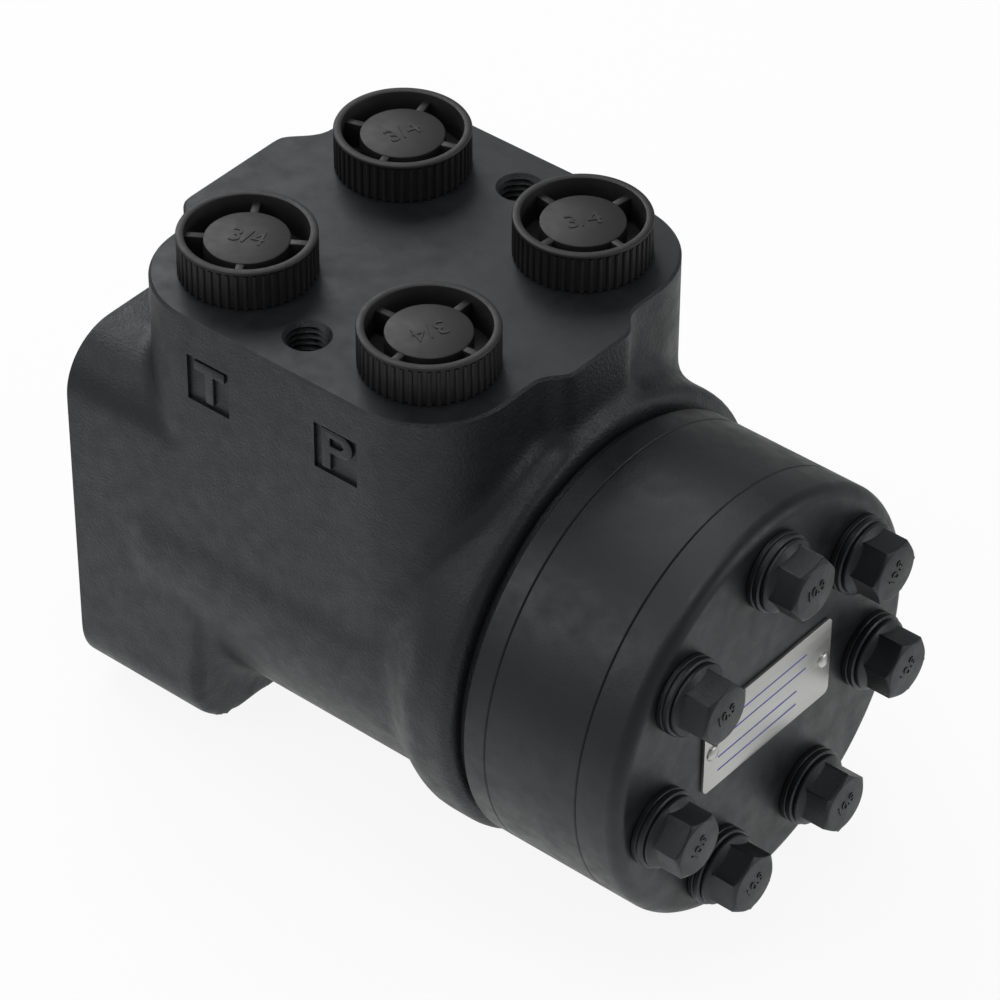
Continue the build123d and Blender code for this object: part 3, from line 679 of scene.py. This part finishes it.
def outline_field(x, y, outline):
    """Distance to a polygon, less inside it."""
    best = np.full(x.shape, 1e9)
    inside = np.ones(x.shape)
    for index, (ax, ay) in enumerate(outline):
        bx, by = outline[index - 1]
        ex, ey = bx - ax, by - ay
        wx, wy = x - ax, y - ay
        along = np.clip((wx * ex + wy * ey) / (ex * ex + ey * ey), 0, 1)
        best = np.minimum(best, (wx - ex * along) ** 2 + (wy - ey * along) ** 2)
        above, below, left = y >= ay, y < by, ex * wy > ey * wx
        crossing = (above & below & left) | (~above & ~below & ~left)
        inside = np.where(crossing, -inside, inside)
    return inside * np.sqrt(best)


def raised(flat, along, low, high, corner=0.0):
    """A flat field given a length between two planes, with rounded end edges."""
    wide = flat + corner
    deep = np.abs(along - (low + high) / 2) - (high - low) / 2 + corner
    outside = np.hypot(np.maximum(wide, 0), np.maximum(deep, 0))
    return outside + np.minimum(np.maximum(wide, deep), 0) - corner


def block_field(x, y):
    """Distance to the port block with its bosses, seen from above."""
    field = box_field(x - BLOCK_MID, y, BLOCK_HALF, WALL_Y, BLOCK_CORNER)
    x, y = np.broadcast_arrays(x, y)
    for way, reach, width in TABS:
        wall = BLOCK_MID + way * BLOCK_HALF
        half = width / 2 - 1.6
        tip = wall + way * (reach - TAB_CORNER)
        foot = wall - way * 12
        spread = abs(tip - foot)
        corners = [(foot, -half - spread), (tip, -half), (tip, half), (foot, half + spread)]
        field = np.minimum(field, outline_field(x, y, corners) - TAB_CORNER)
    return field


def casting_field(spacing):
    """Distance to the rough casting on a grid, in millimetres, and the grid's corner.

    Each form runs on past the faces that are machined later."""
    low = np.array((-8.0, -60.0, -60.0))
    high = np.array((124.0, 60.0, 84.0))
    counts = np.ceil((high - low) / spacing).astype(int)
    x, y, z = (low[i] + spacing * np.arange(counts[i]) for i in range(3))
    field = raised(block_field(x[:, None], y[None, :])[:, :, None], z[None, None, :], 0.0, 80.0)
    across, up, along = y[:, None], z[None, :], x[:, None, None]
    flange = box_field(across, up + FLANGE_DROP, WALL_Y, FLANGE_HALF, FLANGE_CORNER)
    field = np.minimum(field, raised(flange[None], along, -6.0, FLANGE_END, 0.5))
    barrel = np.hypot(across, up) - BARREL_RADIUS
    field = np.minimum(field, raised(barrel[None], along, 20.0, 110.0))
    share = np.clip((x - COLLAR_START) / COLLAR_CLIMB, 0, 1)
    base = BARREL_RADIUS - COLLAR_RAISE
    swell = base + (COLLAR_RADIUS - base) * (3 * share**2 - 2 * share**3)
    slope = (COLLAR_RADIUS - base) * 6 * share * (1 - share) / COLLAR_CLIMB
    collar = np.hypot(across, up - COLLAR_RAISE)[None] - swell[:, None, None]
    collar = collar / np.sqrt(1 + slope**2)[:, None, None]
    field = np.minimum(field, raised(collar, along, COLLAR_START - 2, COLLAR_END, COLLAR_EDGE))
    return field, low


def level_grid(points, quads, spacing, reach):
    """Distances round a closed surface, on a fresh grid."""
    return openvdb.FloatGrid.createLevelSetFromPolygons(
        points,
        quads=quads,
        transform=openvdb.createLinearTransform(voxelSize=spacing),
        halfWidth=reach / spacing + 2.5,
    )


def cast_skin(spacing, fillet, rounding):
    """The rough casting with its inner corners filled and its outer corners worn round."""
    field, low = casting_field(spacing)
    grid = openvdb.FloatGrid(background=50.0)
    grid.copyFromArray(field.astype(np.float32))
    grid.gridClass = openvdb.GridClass.LEVEL_SET
    points, quads = grid.convertToQuads(isovalue=fillet)
    points = points * spacing + low
    for offset in (-fillet, -rounding, rounding):
        grid = level_grid(points.astype(np.float32), quads, spacing, abs(offset) + spacing)
        points, quads = grid.convertToQuads(isovalue=offset)
    return points, quads


def stepped_profile(start, steps):
    """A cutter's profile: from its start, each length of bore runs to its end with its radius."""
    profile = [(0.0, start)]
    for end, radius in steps:
        profile += [(radius, start), (radius, end)]
        start = end
    profile.append((0.0, start))
    return profile


def port_face_cut(skin, face, edge):
    """Cuts the skin off level below the port face and closes it with a chamfered top."""
    work = bmesh.new()
    work.from_mesh(skin)
    everything = work.verts[:] + work.edges[:] + work.faces[:]
    level = (face - edge) * MM
    plane = {"plane_co": (0, 0, level), "plane_no": (0, 0, 1)}
    bmesh.ops.bisect_plane(work, geom=everything, clear_outer=True, **plane)
    rim = {}
    for side in work.edges:
        if side.is_boundary:
            for vert in side.verts:
                rim.setdefault(vert, []).append(side.other_vert(vert))
    start = min(rim, key=lambda vert: (vert.co.x, vert.co.y))
    loop, previous = [start], None
    while True:
        ahead = [vert for vert in rim[loop[-1]] if vert is not previous]
        if ahead[0] is start or (len(loop) > 2 and start in ahead):
            break
        previous = loop[-1]
        loop.append(ahead[0])
    middle = sum((vert.co for vert in loop), Vector()) / len(loop)
    inner = []
    for index, vert in enumerate(loop):
        along = loop[(index + 2) % len(loop)].co - loop[index - 2].co
        inward = Vector((-along.y, along.x, 0)).normalized()
        if inward.dot(middle - vert.co) < 0:
            inward.negate()
        inner.append(work.verts.new(vert.co + inward * edge * MM + Vector((0, 0, edge * MM))))
    for index, vert in enumerate(loop):
        after = (index + 1) % len(loop)
        work.faces.new((vert, loop[after], inner[after], inner[index]))
    work.faces.new(inner)
    result = bpy.data.meshes.new("casting")
    work.to_mesh(result)
    work.free()
    return outward(result)


def seal_groove(low, high):
    """A cutter for the seal groove outside the screws."""
    inner, outer = SEAL_GROOVE
    return turned("groove", [(inner, low), (outer, low), (outer, high), (inner, high)], 96)


def oil_drill(radius, start, end):
    """A round cutter between two points, in millimetres."""
    way = Vector(end) - Vector(start)
    drill = rod("drill", radius, 0, way.length, 24)
    placed(drill, way.to_track_quat("Z", "Y").to_matrix().to_4x4())
    return shifted(drill, *start)


def shaft_point(x, radius, degrees):
    """A point at that distance from the shaft axis."""
    angle = math.radians(degrees)
    return (x, radius * math.cos(angle), radius * math.sin(angle))


def port_cutters(face, pitch):
    """Cutters for the ports with their galleries, and for the two holes in the port face."""
    tools = []
    for name, (x, y) in PORT_SPOTS.items():
        low, high = face - PORT_DEPTH, face + 0.6
        thread = threaded("port", PORT_RADIUS, 1.0, low, high, PORT_THREAD_PITCH, 64)
        mouth = cone("mouth", (12.1, face - 1.2), (14.0, face + 0.7), 64)
        step, inward = GALLERY_STEPS[name]
        drill = rod("drill", DRILL_RADIUS, 0, low + DRILL_LAP)
        tools += [shifted(thread, x, y), shifted(mouth, x, y), shifted(drill, x + step, y + inward)]
    for y in (-FACE_HOLE_Y, FACE_HOLE_Y):
        thread = threaded("hole", TAP_RADIUS, 0.8, face - FACE_HOLE_DEPTH, face + 0.6, pitch, 36)
        mouth = cone("mouth", (4.3, face - 1.0), (5.9, face + 0.6), 48)
        tools += [shifted(thread, BLOCK_MID, y), shifted(mouth, BLOCK_MID, y)]
    return tools


def mounting_cutters(pitch):
    """Cutters for the four threaded holes in the mounting face."""
    tools = []
    for quarter in range(4):
        thread = threaded("hole", TAP_RADIUS, 0.8, -0.6, MOUNT_DEPTH, pitch, 36)
        mouth = cone("mouth", (5.9, -0.6), (4.3, 1.0), 48)
        spot = shaft_point(0, MOUNT_CIRCLE, 45 + 90 * quarter)
        tools += [shifted(placed(tool, ALONG_SHAFT), *spot) for tool in (thread, mouth)]
    return tools


def gear_end_cutters():
    """Cutters for the screw holes, the check valve, the oil ways and the seal at the gear end."""
    tools = [placed(seal_groove(HOUSING_END - GROOVE_DEPTH, HOUSING_END + 1), ALONG_SHAFT)]
    for index, angle in enumerate(SCREW_ANGLES):
        hole = rod("hole", TAPPED_RADIUS, TAPPED_START, HOUSING_END + 1)
        if index == PIN_INDEX:
            hole = turned("hole", stepped_profile(RETURN_X, VALVE_STEPS), 32)
        tools.append(shifted(placed(hole, ALONG_SHAFT), *shaft_point(0, SCREW_CIRCLE, angle)))
    valve = SCREW_ANGLES[PIN_INDEX]
    for x in (RETURN_X, SUPPLY_X):
        start, end = (shaft_point(x, radius, valve) for radius in (GALLERY_RADIUS - 1, SCREW_CIRCLE))
        tools.append(oil_drill(LINK_RADIUS, start, end))
    for angle in ROOT_ANGLES:
        start, end = (shaft_point(x, radius, angle) for x, radius in OIL_WAY)
        tools.append(oil_drill(OIL_HOLE_RADIUS, start, end))
    return tools


def housing_mesh(sizes):
    """The casting with everything that is machined into it."""
    points, quads = cast_skin(sizes.voxel, sizes.fillet, sizes.rounding)
    skin = outward(mesh_from("casting", points * MM, quads))
    skin = port_face_cut(skin, sizes.port_face, sizes.port_chamfer)
    spigot = placed(rod("spigot", SPIGOT_RADIUS, 108.0, HOUSING_END, 128), ALONG_SHAFT)
    body = carved("casting", skin, [spigot], "UNION")
    behind = prism("behind", [(-30, -70), (0, -70), (0, 70), (-30, 70)], -90.0, 110.0)
    bore = placed(turned("bore", stepped_profile(-1.0, BORE_STEPS), 96), ALONG_SHAFT)
    fields = [wall_prism("field", mark_field(left), sizes.mark_depth, 2.0) for left in MARK_LEFTS]
    tools = [behind, bore, *port_cutters(sizes.port_face, sizes.thread_pitch)]
    tools += [*mounting_cutters(sizes.thread_pitch), *fields, *gear_end_cutters()]
    return carved("casting", body, tools)


def mark_outlines():
    """The outlines of the raised port letters, as (x, z) points on the near wall."""
    tee = [
        (38.4, 60.1), (38.4, 57.7), (41.4, 57.7), (41.4, 50.3),
        (43.7, 50.3), (43.7, 57.7), (46.9, 57.7), (46.9, 60.1),
    ]
    bow = [math.pi * (0.5 - step / 8) for step in range(9)]
    bowl = [(79.3 + 2.9 * math.cos(angle), 57.6 + 2.9 * math.sin(angle)) for angle in bow]
    pee = [(73.9, 50.3), (73.9, 60.5), *bowl, (76.2, 54.7), (76.2, 50.3)]
    return {"mark_tank": tee, "mark_pump": pee}


def wall_prism(name, outline, deep, out):
    """A solid of an (x, z) outline on the near wall, from deep inside it to that far out."""
    return shifted(placed(prism(name, outline, -deep, out), TO_NEAR_WALL), y=-WALL_Y)


def mark_field(left):
    """The sunk square that a port letter stands in."""
    right, high = left + MARK_SIDE, MARK_LOW + MARK_SIDE
    return [(left, MARK_LOW), (right, MARK_LOW), (right, high), (left, high)]


# ---- plates of the gear set ----


def plate_profile(radius, low, high, edge):
    bottom = [(0, low), (radius - edge, low), (radius, low + edge)]
    return bottom + [(radius, high - edge), (radius - edge, high), (0, high)]


def cover_profile(radius, low, high, edge, corner):
    profile = [(0, low), (radius - edge, low), (radius, low + edge)]
    for step in range(11):
        angle = math.pi / 2 * step / 10
        across, up = corner * math.cos(angle), corner * math.sin(angle)
        profile.append((radius - corner + across, high - corner + up))
    return profile + [(0, high)]


def hole_circle(low, high, radius, circle, angles, segments=32):
    """Cutters round a circle about Z, in millimetres."""
    spots = [shaft_point(0, circle, angle)[1:] for angle in angles]
    return [shifted(rod("hole", radius, low, high, segments), *spot) for spot in spots]


def screw_holes(low, high):
    return hole_circle(low, high, CLEAR_RADIUS, SCREW_CIRCLE, SCREW_ANGLES)


def lobed_outline(points=840):
    """The ring's inside: a round wall with the lobes standing in from it."""
    outline = []
    lobe_step = 2 * math.pi / SCREW_COUNT
    for step in range(points):
        angle = 2 * math.pi * step / points
        nearest = math.pi / 2 + lobe_step * round((angle - math.pi / 2) / lobe_step)
        swing = angle - nearest
        wall = RING_ROOT
        across = LOBE_CIRCLE * math.sin(abs(swing))
        if across < LOBE_RADIUS:
            wall = min(wall, LOBE_CIRCLE * math.cos(swing) - math.sqrt(LOBE_RADIUS**2 - across**2))
        outline.append((wall * math.cos(angle), wall * math.sin(angle)))
    return outline


# ---- screws, washers and rivets ----


def head_mesh(sizes, shank):
    """A flanged hexagon head on a plain shank, standing on its seat along Z."""
    half, flange, head = sizes.flats / 2, sizes.flange, sizes.head
    reach = half / math.cos(math.pi / 6)
    corners = [math.radians(60 * corner) for corner in range(6)]
    hexagon = [(reach * math.cos(corner), reach * math.sin(corner)) for corner in corners]
    wide, top = 9.5, half - 0.3
    drop = (wide - top) * math.tan(math.radians(30))
    crown = [(0, -1.0), (wide, -1.0), (wide, head - drop), (top, head), (0, head)]
    block = prism("hexagon", hexagon, 0.0, head + 1)
    block = carved("head", block, [turned("crown", crown, 96)], "INTERSECT")
    collar = [(0, 0), (flange - 0.3, 0), (flange, 0.3), (flange, 1.0)]
    collar += [(flange - 0.5, 1.35), (6.4, 2.1), (0, 2.1)]
    block = carved("head", block, [turned("collar", collar, 96)], "UNION")
    block = bevelled("head", block, 0.22, 2, 30.0)
    number = shifted(lettered("grade", "10.9", 3.6, 0.42), z=head - 0.2)
    return joined("screw", [block, rod("stem", 4.0, -shank, 0.4), number])


def washer_mesh(radius):
    """Two stacked washers with worn edges."""
    rings = []
    for low in (0.0, 1.5):
        high = low + 1.5
        profile = [
            (4.2, low), (radius - 0.25, low), (radius, low + 0.2), (radius, high - 0.35),
            (radius - 0.25, high - 0.1), (radius - 0.6, high), (4.2, high),
        ]
        rings.append(turned("washer", profile, 64))
    return joined("washer", rings)


def rivet_mesh():
    """A round-headed drive rivet."""
    profile = [(0, -4.8), (1.2, -4.8), (1.2, 0.0), (1.9, 0.0)]
    for step in range(1, 9):
        angle = math.pi / 2 * step / 8
        profile.append((1.9 * math.cos(angle), 0.9 * math.sin(angle)))
    return turned("rivet", profile, 40)


# ---- port caps ----


def cap_meshes(sizes, mark_turn):
    """The cap's turned form with its spokes, about Z from the port face."""
    radius, height = sizes.radius, sizes.height
    disc = height - 1.6
    profile = [
        (7.7, -10.0), (11.3, -10.0), (11.94, -9.4), (11.94, 0.0), (14.2, 0.0), (14.5, 0.3),
        (14.5, height - 0.95), (14.85, height - 0.8), (radius, height - 0.6),
        (radius, height - 0.4), (14.85, height - 0.12), (14.6, height), (13.5, height),
        (13.3, height - 0.1), (13.2, height - 0.35), (13.2, 1.8), (9.3, 1.8), (9.3, disc - 0.5),
        (9.15, disc - 0.15), (8.8, disc), (0, disc), (0, disc - 1.6), (7.7, disc - 1.6),
    ]
    form = turned("cap", profile, 144)
    spokes = []
    corners = [(8.9, -0.9), (13.6, -0.9), (13.6, 0.9), (8.9, 0.9)]
    for quarter in range(4):
        spoke = prism("spoke", corners, 1.4, disc - 0.25)
        turn = Matrix.Rotation(math.pi / 2 * quarter, 4, "Z")
        spokes.append(placed(bevelled("spoke", spoke, 0.25), turn))
    size_mark = shifted(lettered("size", "3/4", 6.4, 0.55), z=disc - 0.4)
    placed(size_mark, Matrix.Rotation(math.radians(mark_turn), 4, "Z"))
    return joined("cap", [form, *spokes, size_mark])


def grip_rib(height):
    """A rounded rib that stands out along X."""
    bow = [math.pi * (step / 6 - 0.5) for step in range(7)]
    nose = [(0.55 * math.cos(angle), 0.5 * math.sin(angle)) for angle in bow]
    return prism("rib", [(-0.5, -0.5), *nose, (-0.5, 0.5)], 0.15, height - 1.0)


# ---- operators ----


class BuildHousing(bpy.types.Operator):
    """Builds the cast valve housing with its machined faces, ports and threads"""

    bl_idname = "steering_unit.housing"
    bl_label = "Build Housing"

    def execute(self, context):
        sizes = context.scene.unit_housing
        finished("casting", housing_mesh(sizes), "cast_housing", "housing", ["valve_housing"])
        for name, outline in mark_outlines().items():
            mark = wall_prism(name, outline, sizes.mark_depth + 0.3, 0.0)
            if name == "mark_pump":
                mark = carved(name, mark, [wall_prism("eye", MARK_EYE, 5.0, 2.0)])
            finished(name, bevelled(name, mark, 0.22), "cast_housing", "housing")
        return {"FINISHED"}


class BuildStack(bpy.types.Operator):
    """Builds the distribution plate, the gear ring and the end cover"""

    bl_idname = "steering_unit.stack"
    bl_label = "Build Gear Set"

    def execute(self, context):
        sizes = context.scene.unit_stack
        radius, edge = sizes.radius, sizes.edge

        def put(name, profile, cuts, node):
            disc = carved(name, turned(name, profile, 192), cuts)
            finished(name, placed(disc, ALONG_SHAFT), "painted_steel", "housing", [node])

        low, high = HOUSING_END - OVERCUT, PLATE_END + OVERCUT
        cuts = screw_holes(low, high)
        cuts += hole_circle(low, high, OIL_HOLE_RADIUS, OIL_HOLE_CIRCLE, ROOT_ANGLES, 24)
        cuts += [rod("hole", 12.0, low, high, 64), seal_groove(PLATE_END - GROOVE_DEPTH, high)]
        profile = plate_profile(radius, HOUSING_END, PLATE_END, edge)
        put("flow_plate", profile, cuts, "distribution_plate")
        low, high = PLATE_END - OVERCUT, RING_END + OVERCUT
        cuts = [prism("inside", lobed_outline(), low, high), *screw_holes(low, high)]
        put("gear_ring", plate_profile(radius, PLATE_END, RING_END, edge), cuts, "gerotor_ring")
        low, high = RING_END - OVERCUT, COVER_END + OVERCUT
        cuts = screw_holes(low, high) + [seal_groove(low, RING_END + GROOVE_DEPTH)]
        pocket, depth = RIVET_POCKET
        for side in (-RIVET_Y, RIVET_Y):
            cuts.append(shifted(rod("pocket", pocket, COVER_END - depth, high, 24), side))
        profile = cover_profile(radius, RING_END, COVER_END, edge, sizes.cover_edge)
        put("cover_plate", profile, cuts, "end_cover")
        return {"FINISHED"}


class BuildFasteners(bpy.types.Operator):
    """Builds the cover screws and their washers"""

    bl_idname = "steering_unit.fasteners"
    bl_label = "Build Fasteners"

    def execute(self, context):
        sizes = context.scene.unit_fasteners

        def put(name, meshes, seat, slot, node):
            place = Matrix.Translation((seat * MM, 0, 0)) @ ALONG_SHAFT
            finished(name, placed(meshes, place), slot, "housing", [node])

        screws = ring_of(
            "screws", head_mesh(sizes, 59.0), "bolt_steel", SCREW_COUNT, SCREW_CIRCLE, 90,
            skipped=PIN_INDEX, turns=SCREW_TURNS,
        )
        put("cover_screws", screws, HEAD_SEAT, "bolt_steel", "cover_bolts")
        pin = ring_of(
            "pin", head_mesh(sizes, 50.0), "bolt_steel", 1, SCREW_CIRCLE, SCREW_ANGLES[PIN_INDEX],
            turns=SCREW_TURNS[PIN_INDEX:PIN_INDEX + 1],
        )
        put("pin_screw", pin, HEAD_SEAT, "bolt_steel", "pin_bolt")
        washer = washer_mesh(sizes.washer)
        rings = ring_of("washers", washer, "washer_steel", SCREW_COUNT, SCREW_CIRCLE, 90)
        put("cover_washers", rings, COVER_END, "washer_steel", "washers")
        return {"FINISHED"}


class BuildPlate(bpy.types.Operator):
    """Builds the blank name plate with its ruled lines and rivets"""

    bl_idname = "steering_unit.name_plate"
    bl_label = "Build Name Plate"

    def execute(self, context):
        outline = []
        across, up = (half - NAME_PLATE_CORNER for half in NAME_PLATE_HALF)
        for sign_y, sign_z, start in ((1, 1, 0), (-1, 1, 90), (-1, -1, 180), (1, -1, 270)):
            for step in range(7):
                _, y, z = shaft_point(0, NAME_PLATE_CORNER, start + 15 * step)
                outline.append((sign_y * across + y, sign_z * up + z))
        plate = bevelled("plate", prism("plate", outline, COVER_END, NAME_PLATE_TOP), 0.15)
        plate = placed(plate, ALONG_SHAFT)
        finished("blank_plate", plate, "plate_metal", "housing", ["name_plate"])
        rules = []
        for middle, up, width in RULES:
            left, right = middle - width / 2, middle + width / 2
            corners = [(left, up - 0.2), (right, up - 0.2), (right, up + 0.2), (left, up + 0.2)]
            rules.append(prism("rule", corners, NAME_PLATE_TOP - 0.05, NAME_PLATE_TOP + 0.03))
        rules = placed(joined("rules", rules), ALONG_SHAFT)
        finished("plate_rules", rules, "plate_metal", "housing", coat="plate_ink")
        rivets = ring_of("rivets", rivet_mesh(), "rivet_metal", 2, RIVET_Y)
        rivets = placed(rivets, Matrix.Translation((NAME_PLATE_TOP * MM, 0, 0)) @ ALONG_SHAFT)
        finished("drive_rivets", rivets, "rivet_metal", "housing", ["plate_rivets"])
        return {"FINISHED"}


class BuildCaps(bpy.types.Operator):
    """Builds the four ribbed port caps"""

    bl_idname = "steering_unit.caps"
    bl_label = "Build Port Caps"

    def execute(self, context):
        sizes = context.scene.unit_caps
        face = context.scene.unit_housing.port_face
        for name, (x, y) in PORT_SPOTS.items():
            rib = grip_rib(sizes.height)
            ribs = ring_of("ribs", rib, "cap_plastic", sizes.ribs, sizes.radius - 0.56, follow=1.0)
            cap = joined("cap", [cap_meshes(sizes, CAP_MARK_TURNS[name]), ribs])
            placed(cap, Matrix.Rotation(math.radians(CAP_TURNS[name]), 4, "Z"))
            cap = shifted(cap, x, y, face)
            finished(f"cap_{name}", cap, "cap_plastic", f"cap_{name}", [f"port_cap_{name}"])
        return {"FINISHED"}


class FinishFrame(bpy.types.Operator):
    """Gives the CAD pieces that stay in sight their finishes"""

    bl_idname = "steering_unit.frame"
    bl_label = "Finish CAD Pieces"

    def execute(self, context):
        slots = {part["node"]: part["material_slot"] for part in frame["record"]["subparts"]}
        for node, obj in frame["nodes"].items():
            if obj.get("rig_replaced") or obj.hide_render:
                continue
            obj.data.materials.clear()
            obj.data.materials.append(finish(slots[node]))
        return {"FINISHED"}


def soft_lamp(name, power, width, place):
    lamp = bpy.data.lights.new(name, "AREA")
    lamp.energy = power
    lamp.size = width
    obj = held(name, lamp)
    obj.location = place
    aim = Vector(LAMP_AIM) - Vector(place)
    obj.rotation_euler = aim.to_track_quat("-Z", "Y").to_euler()


class BuildStage(bpy.types.Operator):
    """Sets the floor, the sky, the lamps and the camera"""

    bl_idname = "steering_unit.stage"
    bl_label = "Build Stage"

    def execute(self, context):
        look = context.scene.unit_stage
        floor_z = CAD_BOX[0][2]
        corners = [(-FLOOR_REACH, -FLOOR_REACH, floor_z), (FLOOR_REACH, -FLOOR_REACH, floor_z)]
        corners += [(FLOOR_REACH, FLOOR_REACH, floor_z), (-FLOOR_REACH, FLOOR_REACH, floor_z)]
        floor_mesh = mesh_from("floor", corners, [(0, 1, 2, 3)])
        floor_mesh.materials.append(floor_finish())
        floor = held("floor", floor_mesh)
        context.scene.world = sky(look.ambient, look.overhead)
        for name, (share, width, place) in LAMPS.items():
            soft_lamp(name, look.key * share, width, place)
        camera = bpy.data.cameras.new("camera")
        camera.sensor_width = 36.0
        camera.lens = CAMERA_LENS
        camera.clip_start = 0.01
        camera.clip_end = 20.0
        eye = held("camera", camera)
        eye.matrix_world = CAMERA_AXES
        context.scene.camera = eye
        context.scene.view_settings.view_transform = "Standard"
        return {"FINISHED"}


def shader_mix(tree, share, first, second):
    return add(tree, "ShaderNodeMixShader", {0: share, 1: first, 2: second}).outputs[0]


def white_for_views(tree, lit, white, seen, mirrored):
    """The lit shader with a share of the white one for the camera, and a share in reflections."""
    rays = add(tree, "ShaderNodeLightPath").outputs
    share = maths(tree, "MULTIPLY", rays["Is Camera Ray"], seen)
    for ray in ("Is Glossy Ray", "Is Transmission Ray"):
        share = maths(tree, "MAXIMUM", share, maths(tree, "MULTIPLY", rays[ray], mirrored))
    return shader_mix(tree, share, lit, white)


def sky(ambient, overhead):
    """White to the camera, and in reflections a lighter horizon under a darker ceiling."""
    world = bpy.data.worlds.new("sky")
    world.use_nodes = True
    tree = world.node_tree
    tree.nodes.clear()
    rays = add(tree, "ShaderNodeLightPath").outputs
    way = add(tree, "ShaderNodeTexCoord").outputs["Generated"]
    axes = add(tree, "ShaderNodeSeparateXYZ", {0: way}).outputs
    white = (1.0, 1.0, 1.0, 1.0)
    ceiling = ramp(tree, axes["Z"], 0.4, overhead, 0.05, 0.5)
    shades = []
    for tint, strength in ((white, ambient), (ceiling, 1.0), (white, 1.0)):
        shade = add(tree, "ShaderNodeBackground", {"Color": tint, "Strength": strength})
        shades.append(shade.outputs[0])
    lit, mirrored, seen = shades
    shiny = maths(tree, "MAXIMUM", rays["Is Glossy Ray"], rays["Is Transmission Ray"])
    behind = shader_mix(tree, shiny, lit, mirrored)
    add(tree, "ShaderNodeOutputWorld", {0: shader_mix(tree, rays["Is Camera Ray"], behind, seen)})
    return world


def floor_finish():
    """A white floor that is seen as white and keeps a soft shadow. In reflections its glow is a
    painted pool of light: white near the object and darker further off.
    """
    material = bpy.data.materials.new("floor")
    material.use_nodes = True
    tree = material.node_tree
    tree.nodes.clear()
    matt = add(tree, "ShaderNodeBsdfDiffuse", {"Color": (0.8, 0.8, 0.8, 1.0)})
    # Painted pool of light round the object, seen only in reflections. For rays other than camera
    # rays, the floor's glow is white within 0.14 m of the object and falls to 0.3 of white beyond
    # 0.28 m.
    span = {0: add(tree, "ShaderNodeTexCoord").outputs["Object"], 1: (0.08, 0.0, CAD_BOX[0][2])}
    reach = add(tree, "ShaderNodeVectorMath", span, operation="DISTANCE")
    away = maths(tree, "SUBTRACT", 1.0, add(tree, "ShaderNodeLightPath").outputs["Is Camera Ray"])
    spread = maths(tree, "MULTIPLY", reach.outputs["Value"], away)
    tint = ramp(tree, spread, 1.0, 0.3, 0.14, 0.28)
    glow_with_painted_pool = add(tree, "ShaderNodeEmission", {"Color": tint, "Strength": 1.0})
    mixed = white_for_views(tree, matt.outputs[0], glow_with_painted_pool.outputs[0], 0.9, 0.75)
    add(tree, "ShaderNodeOutputMaterial", {0: mixed})
    return material


class SteeringPanel(bpy.types.Panel):
    """Sizes, colours and builders of the steering unit"""

    bl_label = "Steering Unit"
    bl_idname = "VIEW3D_PT_steering_unit"
    bl_space_type = "VIEW_3D"
    bl_region_type = "UI"
    bl_category = "Steering"

    def draw(self, context):
        for name, group in GROUPS.items():
            box = self.layout.box()
            for prop in group.__annotations__:
                box.prop(getattr(context.scene, name), prop)
        for operator in OPERATORS:
            self.layout.operator(operator.bl_idname)


OPERATORS = (
    BuildStage, BuildHousing, BuildStack, BuildFasteners, BuildPlate, BuildCaps, FinishFrame,
)


def register():
    for name, group in GROUPS.items():
        bpy.utils.register_class(group)
        setattr(bpy.types.Scene, name, PointerProperty(type=group))
    for cls in (*OPERATORS, SteeringPanel):
        bpy.utils.register_class(cls)


def unregister():
    for cls in (SteeringPanel, *OPERATORS[::-1]):
        bpy.utils.unregister_class(cls)
    for name, group in GROUPS.items():
        delattr(bpy.types.Scene, name)
        bpy.utils.unregister_class(group)


def main():
    register()
    for operator in OPERATORS:
        category, name = operator.bl_idname.split(".")
        getattr(getattr(bpy.ops, category), name)()


if __name__ == "__main__":
    main()
